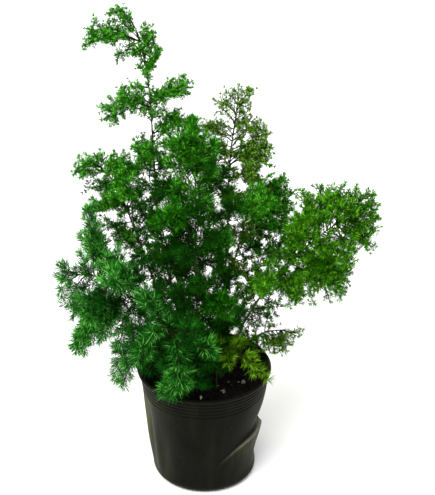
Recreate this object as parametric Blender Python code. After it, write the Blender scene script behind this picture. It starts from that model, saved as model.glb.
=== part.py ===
"""Potted asparagus fern: a thin nursery pot, its potting soil, the canes and their foliage.

The origin is the centre of the pot's underside, +Z is up and -Y is the front. The pot and the
soil are turned from one profile. Every cane is a tapered tube along a smooth route that starts
in its own socket in the soil. Every foliage spray is one soft solid that leaves its cane on a
thin stalk, swells and closes at its tip. A spray's thickness gives way to whatever is near it,
so sprays, canes, soil and pot stay apart when a size is changed.
"""
import math
import random

import bmesh
import bpy
import numpy as np
from mathutils import Vector

# ---------------------------------------------------------------- driving dimensions (metres)
GAP = 0.0003                 # clearance between pieces that touch

POT_HEIGHT = 0.136
RIM_RADIUS = 0.075           # outer edge of the lip
LIP_OVERHANG = 0.0022        # how far the lip stands out from the wall
BASE_RADIUS = 0.058          # wall where it meets the bottom corner
CORNER_RADIUS = 0.009
WALL = 0.0009
FLOOR = 0.0016
LIP_HEIGHT = 0.0045
RIB_COUNT = 4
RIB_PITCH = 0.0052
RIB_DEPTH = 0.0008
POT_SEGMENTS = 48

DRAIN_COUNT = 6
DRAIN_RADIUS = 0.0045
DRAIN_INSET = 0.008          # from the end of the flat floor to a drain hole's edge

SOIL_BELOW_RIM = 0.018
SOIL_SEGMENTS = 32

CANE_BASE_RADIUS = 0.0017
CANE_TIP_RADIUS = 0.0007
CANE_DEPTH = 0.020           # planted length in the soil
CANE_RINGS = 14
CANE_SIDES = 6
CANE_LEVEL = Vector((0, 1, 0))   # the flat sides of canes and sockets line up with this
SOCKET_LEAD = 0.006          # how far a socket cutter stands above the soil

PLANT_WIDTH_SCALE = 1.0      # sideways growth of the whole plant
PLANT_HEIGHT_SCALE = 1.0     # upward growth of the whole plant
SPRAY_THICKNESS_SCALE = 1.0  # fullness of all the sprays
STALK_RADIUS = 0.0009
STALK_SHARE = 0.08           # part of a spray's length that is bare stalk
SWELL_EARLY = 0.80           # under 1 puts a spray's widest place nearer its stalk
SWELL_BLUNT = 0.45           # under 1 makes both ends of a spray blunter
SPRAY_FLATNESS = 0.78        # height over width of a spray's cross section
SPRAY_RINGS = 9
SPRAY_SIDES = 7
SPRAY_GAP = 0.0012           # between one spray and the next
LEAST_RADIUS = 0.00035       # thinnest neck of a spray

GRAIN_RADIUS = 0.0026
GRAIN_ROUGHNESS = 0.22

# ------------------------------------------------------------------------ planting plan
# Cane routes: x, y and height above the soil, in metres, from the socket to the tip.
CANES = {
    "tall": [(-.012, .004, 0), (-.028, .004, .080), (-.046, .003, .180), (-.052, .001, .270),
             (-.055, .000, .350), (-.063, .000, .408)],
    "right": [(.008, .012, 0), (.020, .018, .080), (.026, .020, .180), (.028, .020, .260),
              (.036, .021, .328)],
    "side": [(.020, .000, 0), (.045, -.008, .080), (.084, -.016, .150), (.118, -.016, .186),
             (.142, -.008, .202)],
    "left": [(-.022, -.010, 0), (-.048, -.024, .070), (-.084, -.034, .130), (-.112, -.036, .152),
             (-.132, -.033, .154)],
    "shoulder": [(-.024, .012, 0), (-.050, .014, .100), (-.076, .010, .190), (-.094, .003, .245),
                 (-.110, .000, .266)],
    "centre": [(-.003, -.012, 0), (-.006, -.034, .080), (-.008, -.042, .160),
               (-.008, -.038, .230), (-.008, -.033, .268)],
    "front": [(-.013, -.028, 0), (-.020, -.048, .055), (-.030, -.076, .105),
              (-.042, -.094, .126)],
    "young": [(.014, -.020, 0), (.015, -.030, .040), (.024, -.040, .066), (.038, -.044, .060)],
    "low_right": [(.030, .012, 0), (.044, .020, .026), (.066, .026, .044), (.086, .029, .046)],
    "back_right": [(.012, .028, 0), (.022, .052, .070), (.040, .082, .130), (.050, .100, .165)],
    "back_left": [(-.010, .028, 0), (-.026, .056, .075), (-.048, .086, .145),
                  (-.060, .104, .190)],
}

# Sprays: name, cane, place along the cane (0 soil, 1 tip), points to the tip, half width.
SPRAYS = [
    ("tall_crest", "tall", 1.00, [(-.070, .000, .426), (-.082, .000, .440),
                                  (-.096, .000, .437)], .014),
    ("tall_arch", "tall", .97, [(-.084, .006, .416), (-.106, .006, .420), (-.121, .003, .400)],
     .014),
    ("tall_head", "tall", .94, [(-.048, -.006, .386), (-.044, -.003, .408)], .018),
    ("tall_arm_right", "tall", .84, [(-.036, -.002, .352), (-.008, .000, .366)], .017),
    ("tall_arm_left", "tall", .82, [(-.076, .003, .342), (-.110, -.002, .320)], .019),
    ("tall_flank", "tall", .74, [(-.036, .008, .316), (-.008, .004, .320)], .019),
    ("tall_waist", "tall", .70, [(-.058, -.016, .286), (-.058, -.030, .302)], .021),
    ("shoulder_tip", "shoulder", 1.00, [(-.122, .000, .272), (-.138, .000, .262)], .017),
    ("shoulder_front", "shoulder", .92, [(-.086, -.016, .262), (-.082, -.038, .248)], .026),
    ("shoulder_back", "shoulder", .80, [(-.100, .030, .226), (-.118, .042, .204)], .024),
    ("shoulder_low", "shoulder", .64, [(-.100, .010, .192), (-.134, .014, .198)], .019),
    ("centre_crown", "centre", 1.00, [(-.010, -.030, .292), (-.008, -.026, .330)], .036),
    ("centre_pom", "centre", .84, [(-.024, -.052, .230), (-.036, -.070, .246)], .033),
    ("centre_heart", "centre", .72, [(.010, -.052, .196), (.024, -.058, .210)], .028),
    ("centre_low", "centre", .46, [(.010, -.050, .124), (.018, -.068, .138)], .030),
    ("centre_rear", "centre", .90, [(.008, -.012, .262), (.012, .004, .290)], .024),
    ("right_crest", "right", 1.00, [(.046, .022, .342), (.064, .022, .352)], .016),
    ("right_shoulder", "right", .86, [(.054, .023, .308), (.078, .024, .284)], .022),
    ("right_flank", "right", .74, [(.056, .018, .252), (.088, .018, .246)], .020),
    ("right_front", "right", .62, [(.050, -.002, .220), (.072, -.018, .236)], .024),
    ("right_inner", "right", .66, [(.012, .042, .230), (-.002, .054, .252)], .024),
    ("side_tip", "side", 1.00, [(.158, -.002, .206), (.186, .004, .206)], .028),
    ("side_top", "side", .90, [(.128, .018, .208), (.138, .036, .224)], .028),
    ("side_heart", "side", .95, [(.140, -.034, .182), (.158, -.050, .182)], .034),
    ("side_low", "side", .88, [(.138, -.008, .154), (.158, -.010, .128)], .026),
    ("side_inner", "side", .74, [(.100, .006, .176), (.104, .026, .186)], .025),
    ("side_front", "side", .50, [(.064, -.040, .140), (.066, -.062, .156)], .029),
    ("side_under", "side", .62, [(.090, -.030, .122), (.106, -.032, .110)], .022),
    ("left_tip", "left", 1.00, [(-.146, -.032, .154), (-.166, -.028, .146)], .024),
    ("left_top", "left", .88, [(-.118, -.010, .172), (-.132, .010, .178)], .029),
    ("left_front", "left", .74, [(-.086, -.054, .156), (-.094, -.080, .172)], .036),
    ("left_low", "left", .84, [(-.122, -.048, .124), (-.134, -.060, .102)], .029),
    ("left_hang", "left", .64, [(-.094, -.008, .106), (-.124, .000, .080), (-.140, .002, .048)],
     .020),
    ("left_drop", "left", .42, [(-.074, -.038, .064), (-.096, -.036, .046),
                                (-.102, -.034, .012)], .015),
    ("front_left", "front", .78, [(-.048, -.088, .136), (-.060, -.100, .168)], .033),
    ("front_mid", "front", 1.00, [(-.054, -.108, .122), (-.066, -.124, .104)], .032),
    ("front_right", "front", .70, [(-.008, -.082, .098), (.010, -.096, .096)], .027),
    ("front_drape", "front", .90, [(-.026, -.102, .098), (-.022, -.110, .064),
                                   (-.038, -.108, .032)], .023),
    ("young_tip", "young", 1.00, [(.050, -.047, .052), (.066, -.050, .032)], .016),
    ("low_right_tip", "low_right", 1.00, [(.098, .031, .042), (.116, .033, .030)], .016),
    ("back_right_top", "back_right", 1.00, [(.053, .108, .190), (.056, .106, .228)], .036),
    ("back_right_low", "back_right", .66, [(.070, .088, .112), (.106, .080, .126)], .033),
    ("back_left_top", "back_left", 1.00, [(-.064, .108, .212), (-.066, .104, .252)], .035),
    ("back_left_low", "back_left", .62, [(-.030, .112, .100), (-.010, .142, .086)], .033),
]

# Perlite grains that show on the soil: x and y.
GRAINS = [(-.003, -.044), (.022, -.030), (.044, -.012)]

# ----------------------------------------------------------------------------- materials
FINISHES = {
    "pot_plastic": ((.012, .012, .011), .42),
    "potting_soil": ((.022, .015, .010), .95),
    "perlite": ((.72, .70, .64), .90),
    "cane_bark": ((.075, .095, .035), .65),
    "foliage": ((.020, .135, .030), .55),
    "young_foliage": ((.120, .300, .035), .55),
}


def clear_scene():
    """Remove every object that the script starts with."""
    for item in list(bpy.data.objects):
        bpy.data.objects.remove(item, do_unlink=True)


def make_materials():
    """One Principled material for each finish."""
    made = {}
    for name, (colour, roughness) in FINISHES.items():
        material = bpy.data.materials.new(name)
        material.use_nodes = True
        shader = material.node_tree.nodes["Principled BSDF"]
        shader.inputs["Base Color"].default_value = (*colour, 1.0)
        shader.inputs["Roughness"].default_value = roughness
        shader.inputs["Metallic"].default_value = 0.0
        made[name] = material
    return made


def add_object(name, shape, material, smooth_angle=None):
    """Turn a bmesh into a linked object with its material and its shading."""
    mesh = bpy.data.meshes.new(name)
    shape.to_mesh(mesh)
    shape.free()
    if smooth_angle is not None:
        mesh.shade_smooth()
        mesh.set_sharp_from_angle(angle=math.radians(smooth_angle))
    thing = bpy.data.objects.new(name, mesh)
    bpy.context.collection.objects.link(thing)
    if material is not None:
        mesh.materials.append(material)
    return thing


def cut(target, cutter):
    """Cut one object out of another, and keep the cutter as a hidden wire guide."""
    cutter.hide_render = True
    cutter.display_type = 'WIRE'
    boolean = target.modifiers.new("cut_" + cutter.name, 'BOOLEAN')
    boolean.operation = 'DIFFERENCE'
    boolean.solver = 'EXACT'
    boolean.object = cutter


# ------------------------------------------------------------------------ pot and soil
def wall_radius(z, inset=0.0):
    """Radius of the tapered wall at a height, moved inwards by an inset."""
    share = (z - CORNER_RADIUS) / (POT_HEIGHT - CORNER_RADIUS)
    return BASE_RADIUS + (RIM_RADIUS - LIP_OVERHANG - BASE_RADIUS) * share - inset


def corner_points(inset, bottom):
    """Quarter round from the flat bottom to the wall, for a wall moved inwards."""
    radius = CORNER_RADIUS - inset
    steps = 4
    turns = [math.pi / 2 * step / steps for step in range(steps + 1)]
    height = CORNER_RADIUS - bottom
    centre = BASE_RADIUS - CORNER_RADIUS
    return [(centre + radius * math.sin(turn), CORNER_RADIUS - height * math.cos(turn))
            for turn in turns]


def revolve(profile, segments):
    """Turn a profile of radius and height points, which starts and ends on the axis."""
    shape = bmesh.new()
    verts = [shape.verts.new((radius, 0.0, z)) for radius, z in profile]
    edges = [shape.edges.new(pair) for pair in zip(verts, verts[1:])]
    bmesh.ops.spin(shape, geom=verts + edges, cent=(0, 0, 0), axis=(0, 0, 1),
                   angle=2 * math.pi, steps=segments, use_merge=True)
    bmesh.ops.remove_doubles(shape, verts=shape.verts, dist=1e-6)
    bmesh.ops.recalc_face_normals(shape, faces=shape.faces)
    return shape


def cylinders(places, radius, low, high, segments):
    """Upright closed cylinders at several places, in one mesh."""
    shape = bmesh.new()
    for x, y in places:
        made = bmesh.ops.create_cone(shape, cap_ends=True, segments=segments, radius1=radius,
                                     radius2=radius, depth=high - low)
        bmesh.ops.translate(shape, verts=made["verts"], vec=(x, y, (low + high) / 2))
    return shape


def build_pot(materials):
    """The pot: flat floor with drain holes, tapered wall, ring ribs and a lip."""
    lip_low = POT_HEIGHT - LIP_HEIGHT
    ribs_low = lip_low - RIB_COUNT * RIB_PITCH
    outer = [(0.0, 0.0), *corner_points(0.0, 0.0)]
    for rib in range(RIB_COUNT):
        low = ribs_low + rib * RIB_PITCH
        middle = low + RIB_PITCH / 2
        outer.append((wall_radius(low), low))
        outer.append((wall_radius(middle) + RIB_DEPTH, middle))
    lip = [(wall_radius(lip_low), lip_low), (RIM_RADIUS, lip_low + LIP_HEIGHT * 0.35),
           (RIM_RADIUS, lip_low + LIP_HEIGHT * 0.75),
           (RIM_RADIUS - LIP_HEIGHT * 0.25, POT_HEIGHT),
           (wall_radius(POT_HEIGHT, WALL), POT_HEIGHT)]
    inner = [*reversed(corner_points(WALL, FLOOR)), (0.0, FLOOR)]
    pot = add_object("pot", revolve(outer + lip + inner, POT_SEGMENTS),
                     materials["pot_plastic"], smooth_angle=40)
    ring = BASE_RADIUS - CORNER_RADIUS - DRAIN_INSET - DRAIN_RADIUS
    places = [(ring * math.cos(turn), ring * math.sin(turn))
              for turn in (2 * math.pi * hole / DRAIN_COUNT for hole in range(DRAIN_COUNT))]
    drill = cylinders(places, DRAIN_RADIUS, -FLOOR, 2 * FLOOR, 12)
    cut(pot, add_object("drain_drill", drill, None))


def soil_level():
    """Height of the soil's surface."""
    return POT_HEIGHT - SOIL_BELOW_RIM


def build_soil(materials, routes):
    """The root ball: it fills the pot to its level, with a socket round each cane."""
    inset = WALL + GAP
    profile = [(0.0, FLOOR + GAP), *corner_points(inset, FLOOR + GAP),
               (wall_radius(soil_level(), inset), soil_level()), (0.0, soil_level())]
    soil = add_object("soil", revolve(profile, SOIL_SEGMENTS), materials["potting_soil"])
    for name, route in routes.items():
        rings = route[cane_rings(route)]
        planted = rings[:np.argmax(rings[:, 2] > soil_level() + SOCKET_LEAD) + 1].copy()
        planted[0, 2] -= GAP
        radii = np.full(len(planted), CANE_BASE_RADIUS + GAP / math.cos(math.pi / CANE_SIDES))
        socket = tube(planted, radii, CANE_SIDES, level=CANE_LEVEL)
        cut(soil, add_object("socket_" + name, socket, None))


def build_grains(materials):
    """Perlite grains: rough little stones that rest on the soil."""
    chance = random.Random(11)
    for number, (x, y) in enumerate(GRAINS, start=1):
        shape = bmesh.new()
        bmesh.ops.create_icosphere(shape, subdivisions=1, radius=GRAIN_RADIUS)
        for vert in shape.verts:
            vert.co *= 1.0 + GRAIN_ROUGHNESS * (chance.random() - 0.5)
        lowest = min(vert.co.z for vert in shape.verts)
        lift = soil_level() + GAP - lowest
        bmesh.ops.translate(shape, verts=shape.verts, vec=(x, y, lift))
        add_object(f"perlite_grain_{number}", shape, materials["perlite"])


# --------------------------------------------------------------------- canes and sprays
def planted_point(point):
    """A point of the planting plan, grown to scale and lifted onto the soil."""
    x, y, height = point
    return (x * PLANT_WIDTH_SCALE, y * PLANT_WIDTH_SCALE,
            soil_level() + height * PLANT_HEIGHT_SCALE)


def smooth_route(points, count):
    """Even samples of a Catmull-Rom curve through the points."""
    knots = np.array(points, dtype=float)
    ends = np.vstack([2 * knots[0] - knots[1], knots, 2 * knots[-1] - knots[-2]])
    share = np.linspace(0, 1, 24, endpoint=False)[:, None]
    pieces = []
    for before, start, stop, after in zip(ends, ends[1:], ends[2:], ends[3:]):
        pieces.append(0.5 * (2 * start + (stop - before) * share
                             + (2 * before - 5 * start + 4 * stop - after) * share ** 2
                             + (3 * start - before - 3 * stop + after) * share ** 3))
    dense = np.vstack([*pieces, knots[-1:]])
    steps = np.linalg.norm(np.diff(dense, axis=0), axis=1)
    along = np.concatenate([[0.0], np.cumsum(steps)])
    wanted = np.linspace(0.0, along[-1], count)
    return np.column_stack([np.interp(wanted, along, dense[:, axis]) for axis in range(3)])


def tube(route, radii, sides, level=None, flatness=1.0, pointed=False):
    """A closed loft along a route; pointed ends close on the route's own end points."""
    if level is None:
        chord = Vector(route[-1] - route[0]).normalized()
        level = Vector((0, 0, 1)) if abs(chord.z) < 0.8 else Vector((0, 1, 0))
    shape = bmesh.new()
    rings = []
    last = len(route) - 1
    for index, centre in enumerate(route):
        if pointed and index in (0, last):
            rings.append([shape.verts.new(centre)])
            continue
        ahead = Vector(route[min(index + 1, last)] - route[max(index - 1, 0)]).normalized()
        across = ahead.cross(level).normalized()
        above = across.cross(ahead)
        turns = [2 * math.pi * side / sides for side in range(sides)]
        rings.append([shape.verts.new(Vector(centre)
                                      + across * (radii[index] * math.cos(turn))
                                      + above * (radii[index] * flatness * math.sin(turn)))
                      for turn in turns])
    for ring, following in zip(rings, rings[1:]):
        for side in range(sides):
            corners = [ring[side % len(ring)], ring[(side + 1) % len(ring)],
                       following[(side + 1) % len(following)], following[side % len(following)]]
            shape.faces.new(dict.fromkeys(corners))
    if not pointed:
        shape.faces.new(reversed(rings[0]))
        shape.faces.new(rings[-1])
    bmesh.ops.recalc_face_normals(shape, faces=shape.faces)
    return shape


def cane_routes():
    """Each cane's route, from the foot of its socket to its tip."""
    routes = {}
    for name, points in CANES.items():
        grown = [planted_point(point) for point in points]
        foot = (grown[0][0], grown[0][1], grown[0][2] - CANE_DEPTH)
        routes[name] = smooth_route([foot, *grown], CANE_RINGS * 8)
    return routes


def cane_radii(count):
    """A cane's taper, from its planted foot to its tip."""
    return np.linspace(CANE_BASE_RADIUS, CANE_TIP_RADIUS, count)


def cane_rings(route):
    """Which samples of a cane's route carry the rings of its tube."""
    return np.linspace(0, len(route) - 1, CANE_RINGS).round().astype(int)


def build_canes(materials, routes):
    """Every cane as a tapered tube."""
    for name, route in routes.items():
        rings = cane_rings(route)
        shape = tube(route[rings], cane_radii(len(route))[rings], CANE_SIDES, CANE_LEVEL)
        add_object("cane_" + name, shape, materials["cane_bark"], smooth_angle=60)


def spray_route(routes, cane, along, points, half_width):
    """A spray's fine route and the half width it would have with nothing near it."""
    route = routes[cane]
    above = np.flatnonzero(route[:, 2] > soil_level())
    place = above[0] + int(round(along * (len(route) - 1 - above[0])))
    radius = cane_radii(len(route))[place]
    grown = [planted_point(point) for point in points]
    towards = np.array(grown[0]) - route[place]
    if along < 1.0:
        run = route[place] - route[place - 1]
        run /= np.linalg.norm(run)
        towards -= run * float(towards @ run)
        start = route[place] + towards / np.linalg.norm(towards) * (radius + GAP)
    else:
        start = route[place] + towards / np.linalg.norm(towards) * GAP
    fine = smooth_route([start, *grown], (SPRAY_RINGS + 1) * 4 + 1)
    share = np.linspace(0, 1, len(fine))
    leafy = np.clip((share - STALK_SHARE) / (1 - STALK_SHARE), 0, 1)
    swell = np.sin(math.pi * leafy ** SWELL_EARLY) ** SWELL_BLUNT
    width = STALK_RADIUS + half_width * SPRAY_THICKNESS_SCALE * swell
    return fine, width


def keep_clear(names, fine, width, routes):
    """Narrow each spray where another spray, a cane, the pot or the soil is close."""
    clear = {name: width[name].copy() for name in names}
    for name in names:
        here = fine[name]
        for other in names:
            if other == name:
                continue
            apart = np.linalg.norm(here[:, None] - fine[other][None], axis=2)
            split = width[name][:, None] / (width[name][:, None] + width[other][None])
            room = ((apart - SPRAY_GAP) * split).min(axis=1)
            clear[name] = np.minimum(clear[name], room)
        for route in routes.values():
            apart = np.linalg.norm(here[:, None] - route[None], axis=2)
            room = (apart - cane_radii(len(route))[None] - GAP).min(axis=1)
            clear[name] = np.minimum(clear[name], room)
        beside = np.hypot(here[:, 0], here[:, 1]) - RIM_RADIUS - SPRAY_GAP
        over_rim = here[:, 2] - POT_HEIGHT - SPRAY_GAP
        clear[name] = np.minimum(clear[name], np.maximum(beside, over_rim))
    return clear


def build_sprays(materials, routes):
    """Every foliage spray, after all of them have made room for each other."""
    fine = {}
    width = {}
    for name, cane, along, points, half_width in SPRAYS:
        fine[name], width[name] = spray_route(routes, cane, along, points, half_width)
    clear = keep_clear(list(fine), fine, width, routes)
    for name, route in fine.items():
        rings = np.arange(0, len(route), 4)
        radii = np.array([clear[name][max(ring - 4, 0):ring + 5].min() for ring in rings])
        radii = np.maximum(radii, LEAST_RADIUS)
        shape = tube(route[rings], radii, SPRAY_SIDES, flatness=SPRAY_FLATNESS,
                     pointed=True)
        finish = "young_foliage" if name.startswith("young") else "foliage"
        add_object("spray_" + name, shape, materials[finish], smooth_angle=80)


def main():
    """Build every piece of the potted fern."""
    clear_scene()
    materials = make_materials()
    routes = cane_routes()
    build_pot(materials)
    build_soil(materials, routes)
    build_grains(materials)
    build_canes(materials, routes)
    build_sprays(materials, routes)


main()
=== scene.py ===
# %% [markdown]
# # A potted asparagus fern
# This lesson builds the look of a young bush asparagus fern in the soft black pot that a nursery grew
# it in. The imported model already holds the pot, the soil, every cane and one plain solid for each
# side branch. Here each of them gets the surface of the real thing: crumbling soil, a dented pot
# wall, woody stems with side twigs, and many thousand needles.

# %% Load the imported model
import math

import bpy
import numpy as np
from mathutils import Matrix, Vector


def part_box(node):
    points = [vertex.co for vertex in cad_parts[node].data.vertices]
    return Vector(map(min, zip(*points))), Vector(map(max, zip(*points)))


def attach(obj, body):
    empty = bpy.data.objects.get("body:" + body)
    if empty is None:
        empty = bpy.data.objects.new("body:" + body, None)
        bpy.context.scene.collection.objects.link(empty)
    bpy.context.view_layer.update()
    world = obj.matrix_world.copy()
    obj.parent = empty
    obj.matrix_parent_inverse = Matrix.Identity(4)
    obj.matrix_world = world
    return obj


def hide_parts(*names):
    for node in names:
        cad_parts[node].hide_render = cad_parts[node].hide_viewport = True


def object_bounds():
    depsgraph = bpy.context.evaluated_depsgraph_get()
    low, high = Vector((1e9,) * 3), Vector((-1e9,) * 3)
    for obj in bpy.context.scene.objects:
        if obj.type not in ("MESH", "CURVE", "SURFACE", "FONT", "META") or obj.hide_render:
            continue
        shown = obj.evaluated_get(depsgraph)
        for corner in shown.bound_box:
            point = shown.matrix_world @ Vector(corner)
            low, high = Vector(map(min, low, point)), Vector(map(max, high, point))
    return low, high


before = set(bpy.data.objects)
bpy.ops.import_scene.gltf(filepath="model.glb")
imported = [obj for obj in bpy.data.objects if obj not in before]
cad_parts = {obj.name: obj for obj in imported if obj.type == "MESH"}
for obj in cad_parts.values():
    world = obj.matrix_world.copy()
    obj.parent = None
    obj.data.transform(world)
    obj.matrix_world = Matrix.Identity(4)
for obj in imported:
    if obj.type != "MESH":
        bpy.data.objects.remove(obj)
cad_box = [list(corner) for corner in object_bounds()]
pot_low, pot_high = (np.array(corner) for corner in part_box("pot"))
RIM_RADIUS = (pot_high[0] - pot_low[0]) / 2
POT_HEIGHT = pot_high[2] - pot_low[2]
SOIL_LEVEL = np.array(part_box("soil")[1])[2]
print("pot", round(2000 * RIM_RADIUS), "mm across and", round(1000 * POT_HEIGHT), "mm tall")

# %% [markdown]
# ## Camera
# A plant is looked at from a little above. A long lens far away keeps the pot's sides nearly
# parallel. It could also be placed by eye, but here its distance, its tilt and the point that it
# looks at are named values, so the framing can be read.

# %% Camera
CAMERA_TILT = math.radians(28.95)      # how far the camera looks down
CAMERA_DISTANCE = 1.943
CAMERA_LENS = 148.5                    # millimetres, on a sensor 36 mm wide
SIGHT_LIMIT = 50.0                     # metres
AIM_ASIDE = 0.005                      # from the middle of the model's box
AIM_ABOVE = 0.0047

box_middle = (np.array(cad_box[0]) + np.array(cad_box[1])) / 2
aim = np.array([box_middle[0] + AIM_ASIDE, 0.0, box_middle[2] + AIM_ABOVE])
back_off = CAMERA_DISTANCE * np.array([0.0, -math.cos(CAMERA_TILT), math.sin(CAMERA_TILT)])
camera = bpy.data.objects.new("camera", bpy.data.cameras.new("camera"))
camera.data.lens = CAMERA_LENS
camera.data.sensor_fit = 'HORIZONTAL'
camera.data.clip_end = SIGHT_LIMIT
camera.location = aim + back_off
camera.rotation_euler = (math.pi / 2 - CAMERA_TILT, 0.0, 0.0)
bpy.context.collection.objects.link(camera)
bpy.context.scene.camera = camera
bpy.context.scene.view_settings.view_transform = 'Standard'
print("camera at", [round(float(x), 3) for x in camera.location])


# %% [markdown]
# ## Shader maths as expressions
# Every finish below mixes a few patterns. Wiring each Math node by hand hides the idea, so one small
# class wraps a socket, and an ordinary expression such as 1 - mask adds the nodes that it needs. A
# second class holds one finish: its node tree, its shader and a single way to add any other node.

# %% Sockets that can be added and multiplied
class Wire:
    """One output socket; an expression on it adds the Math nodes that work it out."""

    def __init__(self, finish, socket):
        self.finish = finish
        self.socket = socket

    def maths(self, operation, *values):
        node = self.finish.node("ShaderNodeMath", {"operation": operation}, dict(enumerate(values)))
        return Wire(self.finish, node.outputs[0])

    def __add__(self, other):
        return self.maths('ADD', self, other)

    def __sub__(self, other):
        return self.maths('SUBTRACT', self, other)

    def __rsub__(self, other):
        return self.maths('SUBTRACT', other, self)

    def __mul__(self, other):
        return self.maths('MULTIPLY', self, other)

    def __pow__(self, other):
        return self.maths('POWER', self, other)

    def clamped(self):
        return self.maths('MINIMUM', self.maths('MAXIMUM', self, 0.0), 1.0)

    __radd__ = __add__
    __rmul__ = __mul__


class Finish:
    """One material: its tree, its Principled shader, and the ways to add nodes to it."""

    def __init__(self, name, **constants):
        self.material = bpy.data.materials.new(name)
        self.material.use_nodes = True
        self.tree = self.material.node_tree
        self.shader = self.tree.nodes["Principled BSDF"]
        for label, value in constants.items():
            self.shader.inputs[label.replace("_", " ")].default_value = value

    def node(self, kind, settings=None, inputs=None):
        """Any node: its type, then its settings, then a value or a link for each socket."""
        node = self.tree.nodes.new(kind)
        for label, value in (settings or {}).items():
            if label == "stops":
                self.set_stops(node.color_ramp, value)
            else:
                setattr(node, label, value)
        for label, value in (inputs or {}).items():
            self.join(node.inputs[label], value)
        return node

    def join(self, socket, value):
        """Link a wire to a socket, or set the socket to a plain value."""
        if isinstance(value, Wire):
            self.tree.links.new(value.socket, socket)
        else:
            socket.default_value = value

    @staticmethod
    def set_stops(ramp, stops):
        """Give a colour ramp its stops: place and colour."""
        while len(ramp.elements) < len(stops):
            ramp.elements.new(1.0)
        for element, (place, colour) in zip(ramp.elements, stops):
            element.position = place
            element.color = (*colour, 1.0)

    def wire(self, node, output=0):
        return Wire(self, node.outputs[output])

    def ramp(self, factor, stops):
        """A colour that runs through stops as a factor goes from 0 to 1."""
        return self.wire(self.node("ShaderNodeValToRGB", {"stops": stops}, {0: factor}))

    def mix(self, factor, first, second, blend='MIX'):
        """Two colours mixed by a factor."""
        made = self.node("ShaderNodeMix", {"data_type": 'RGBA', "blend_type": blend},
                         {0: factor, 6: first, 7: second})
        return self.wire(made, 2)

    def place(self, stretch=(1.0, 1.0, 1.0)):
        """Object coordinates, stretched where a pattern runs along the piece."""
        at = self.wire(self.node("ShaderNodeTexCoord"), "Object")
        return self.wire(self.node("ShaderNodeMapping", {}, {"Vector": at, "Scale": stretch}))

    def noise(self, scale, detail=3.0, rough=0.5, stretch=(1.0, 1.0, 1.0)):
        """Cloudy noise from 0 to 1, at so many features per metre."""
        made = self.node("ShaderNodeTexNoise", {},
                         {"Vector": self.place(stretch), "Scale": scale, "Detail": detail,
                          "Roughness": rough})
        return self.wire(made, "Fac")

    def paint(self, **links):
        """Feed the shader's own sockets."""
        for label, value in links.items():
            self.join(self.shader.inputs[label.replace("_", " ")], value)

    def bump(self, height, distance, strength=1.0):
        """Raise the surface by a height from 0 to 1 times a distance in metres."""
        made = self.node("ShaderNodeBump", {}, {"Height": height, "Distance": distance,
                                                "Strength": strength})
        self.paint(Normal=self.wire(made))


print("wires and finishes are ready")

# %% [markdown]
# ## Floor and light
# The floor is one large pale sheet with a faint mottle. One broad sun, high at the front left, gives
# the form, a small yellowish lamp on the left draws that edge of the pot, and a bright sky fills in
# the rest, which is how a light tent works. Several lamps could do it too, but a sky has no edge
# that would show as a hard shadow under the needles.

# %% Floor
FLOOR_HALF = 6.0        # metres
floor_finish = Finish("studio_floor", Roughness=0.9, Specular_IOR_Level=0.2)
mottle = floor_finish.noise(3.0, detail=2.0)
floor_finish.paint(Base_Color=floor_finish.ramp(mottle, [(0.3, (0.86, 0.86, 0.86)),
                                                         (0.7, (0.90, 0.90, 0.90))]))
floor_mesh = bpy.data.meshes.new("floor")
corner_signs = ((-1, -1), (1, -1), (1, 1), (-1, 1))
floor_mesh.from_pydata([(FLOOR_HALF * x, FLOOR_HALF * y, 0) for x, y in corner_signs], [],
                       [(0, 1, 2, 3)])
floor_mesh.materials.append(floor_finish.material)
floor = bpy.data.objects.new("floor", floor_mesh)
bpy.context.collection.objects.link(floor)
print("floor is", 2 * FLOOR_HALF, "m wide")

# %% Lamps and sky
SKY_STRENGTH = 1.0
SUN_STRENGTH = 4.2
SUN_SPREAD = math.radians(40)
SUN_TILT = (math.radians(26), math.radians(-16), 0.0)
LAMP_PLACE = (-1.5, 0.3, 0.7)
LAMP_POWER = 7.0
LAMP_SIZE = 0.6
LAMP_COLOUR = (1.0, 1.0, 0.62)

sun = bpy.data.objects.new("high_sun", bpy.data.lights.new("high_sun", 'SUN'))
sun.data.energy = SUN_STRENGTH
sun.data.angle = SUN_SPREAD
sun.rotation_euler = SUN_TILT
bpy.context.collection.objects.link(sun)

lamp = bpy.data.objects.new("left_edge_lamp", bpy.data.lights.new("left_edge_lamp", 'AREA'))
lamp.data.energy = LAMP_POWER
lamp.data.size = LAMP_SIZE
lamp.data.color = LAMP_COLOUR
lamp.location = LAMP_PLACE
towards = np.array([0.0, 0.0, box_middle[2]]) - np.array(LAMP_PLACE)
lamp.rotation_euler = (math.atan2(math.hypot(towards[0], towards[1]), -towards[2]), 0.0,
                       math.atan2(-towards[0], towards[1]))
bpy.context.collection.objects.link(lamp)

world = bpy.data.worlds.new("sky")
world.use_nodes = True
world.node_tree.nodes["Background"].inputs["Strength"].default_value = SKY_STRENGTH
world.node_tree.nodes["Background"].inputs["Color"].default_value = (1.0, 1.0, 1.0, 1.0)
bpy.context.scene.world = world
print("floor, sun, lamp and sky are in")


# %% [markdown]
# ## Surfaces from arrays
# A turned pot, a stem and a lump of soil are all grids of points, so a few helpers are enough: one
# puts whole arrays into a mesh, one joins a grid's points into faces, a few follow lines, and one
# carries circles along many paths at once. Modifiers could do it one object at a time, but working
# on arrays keeps hundreds of thousands of needles quick.

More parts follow.
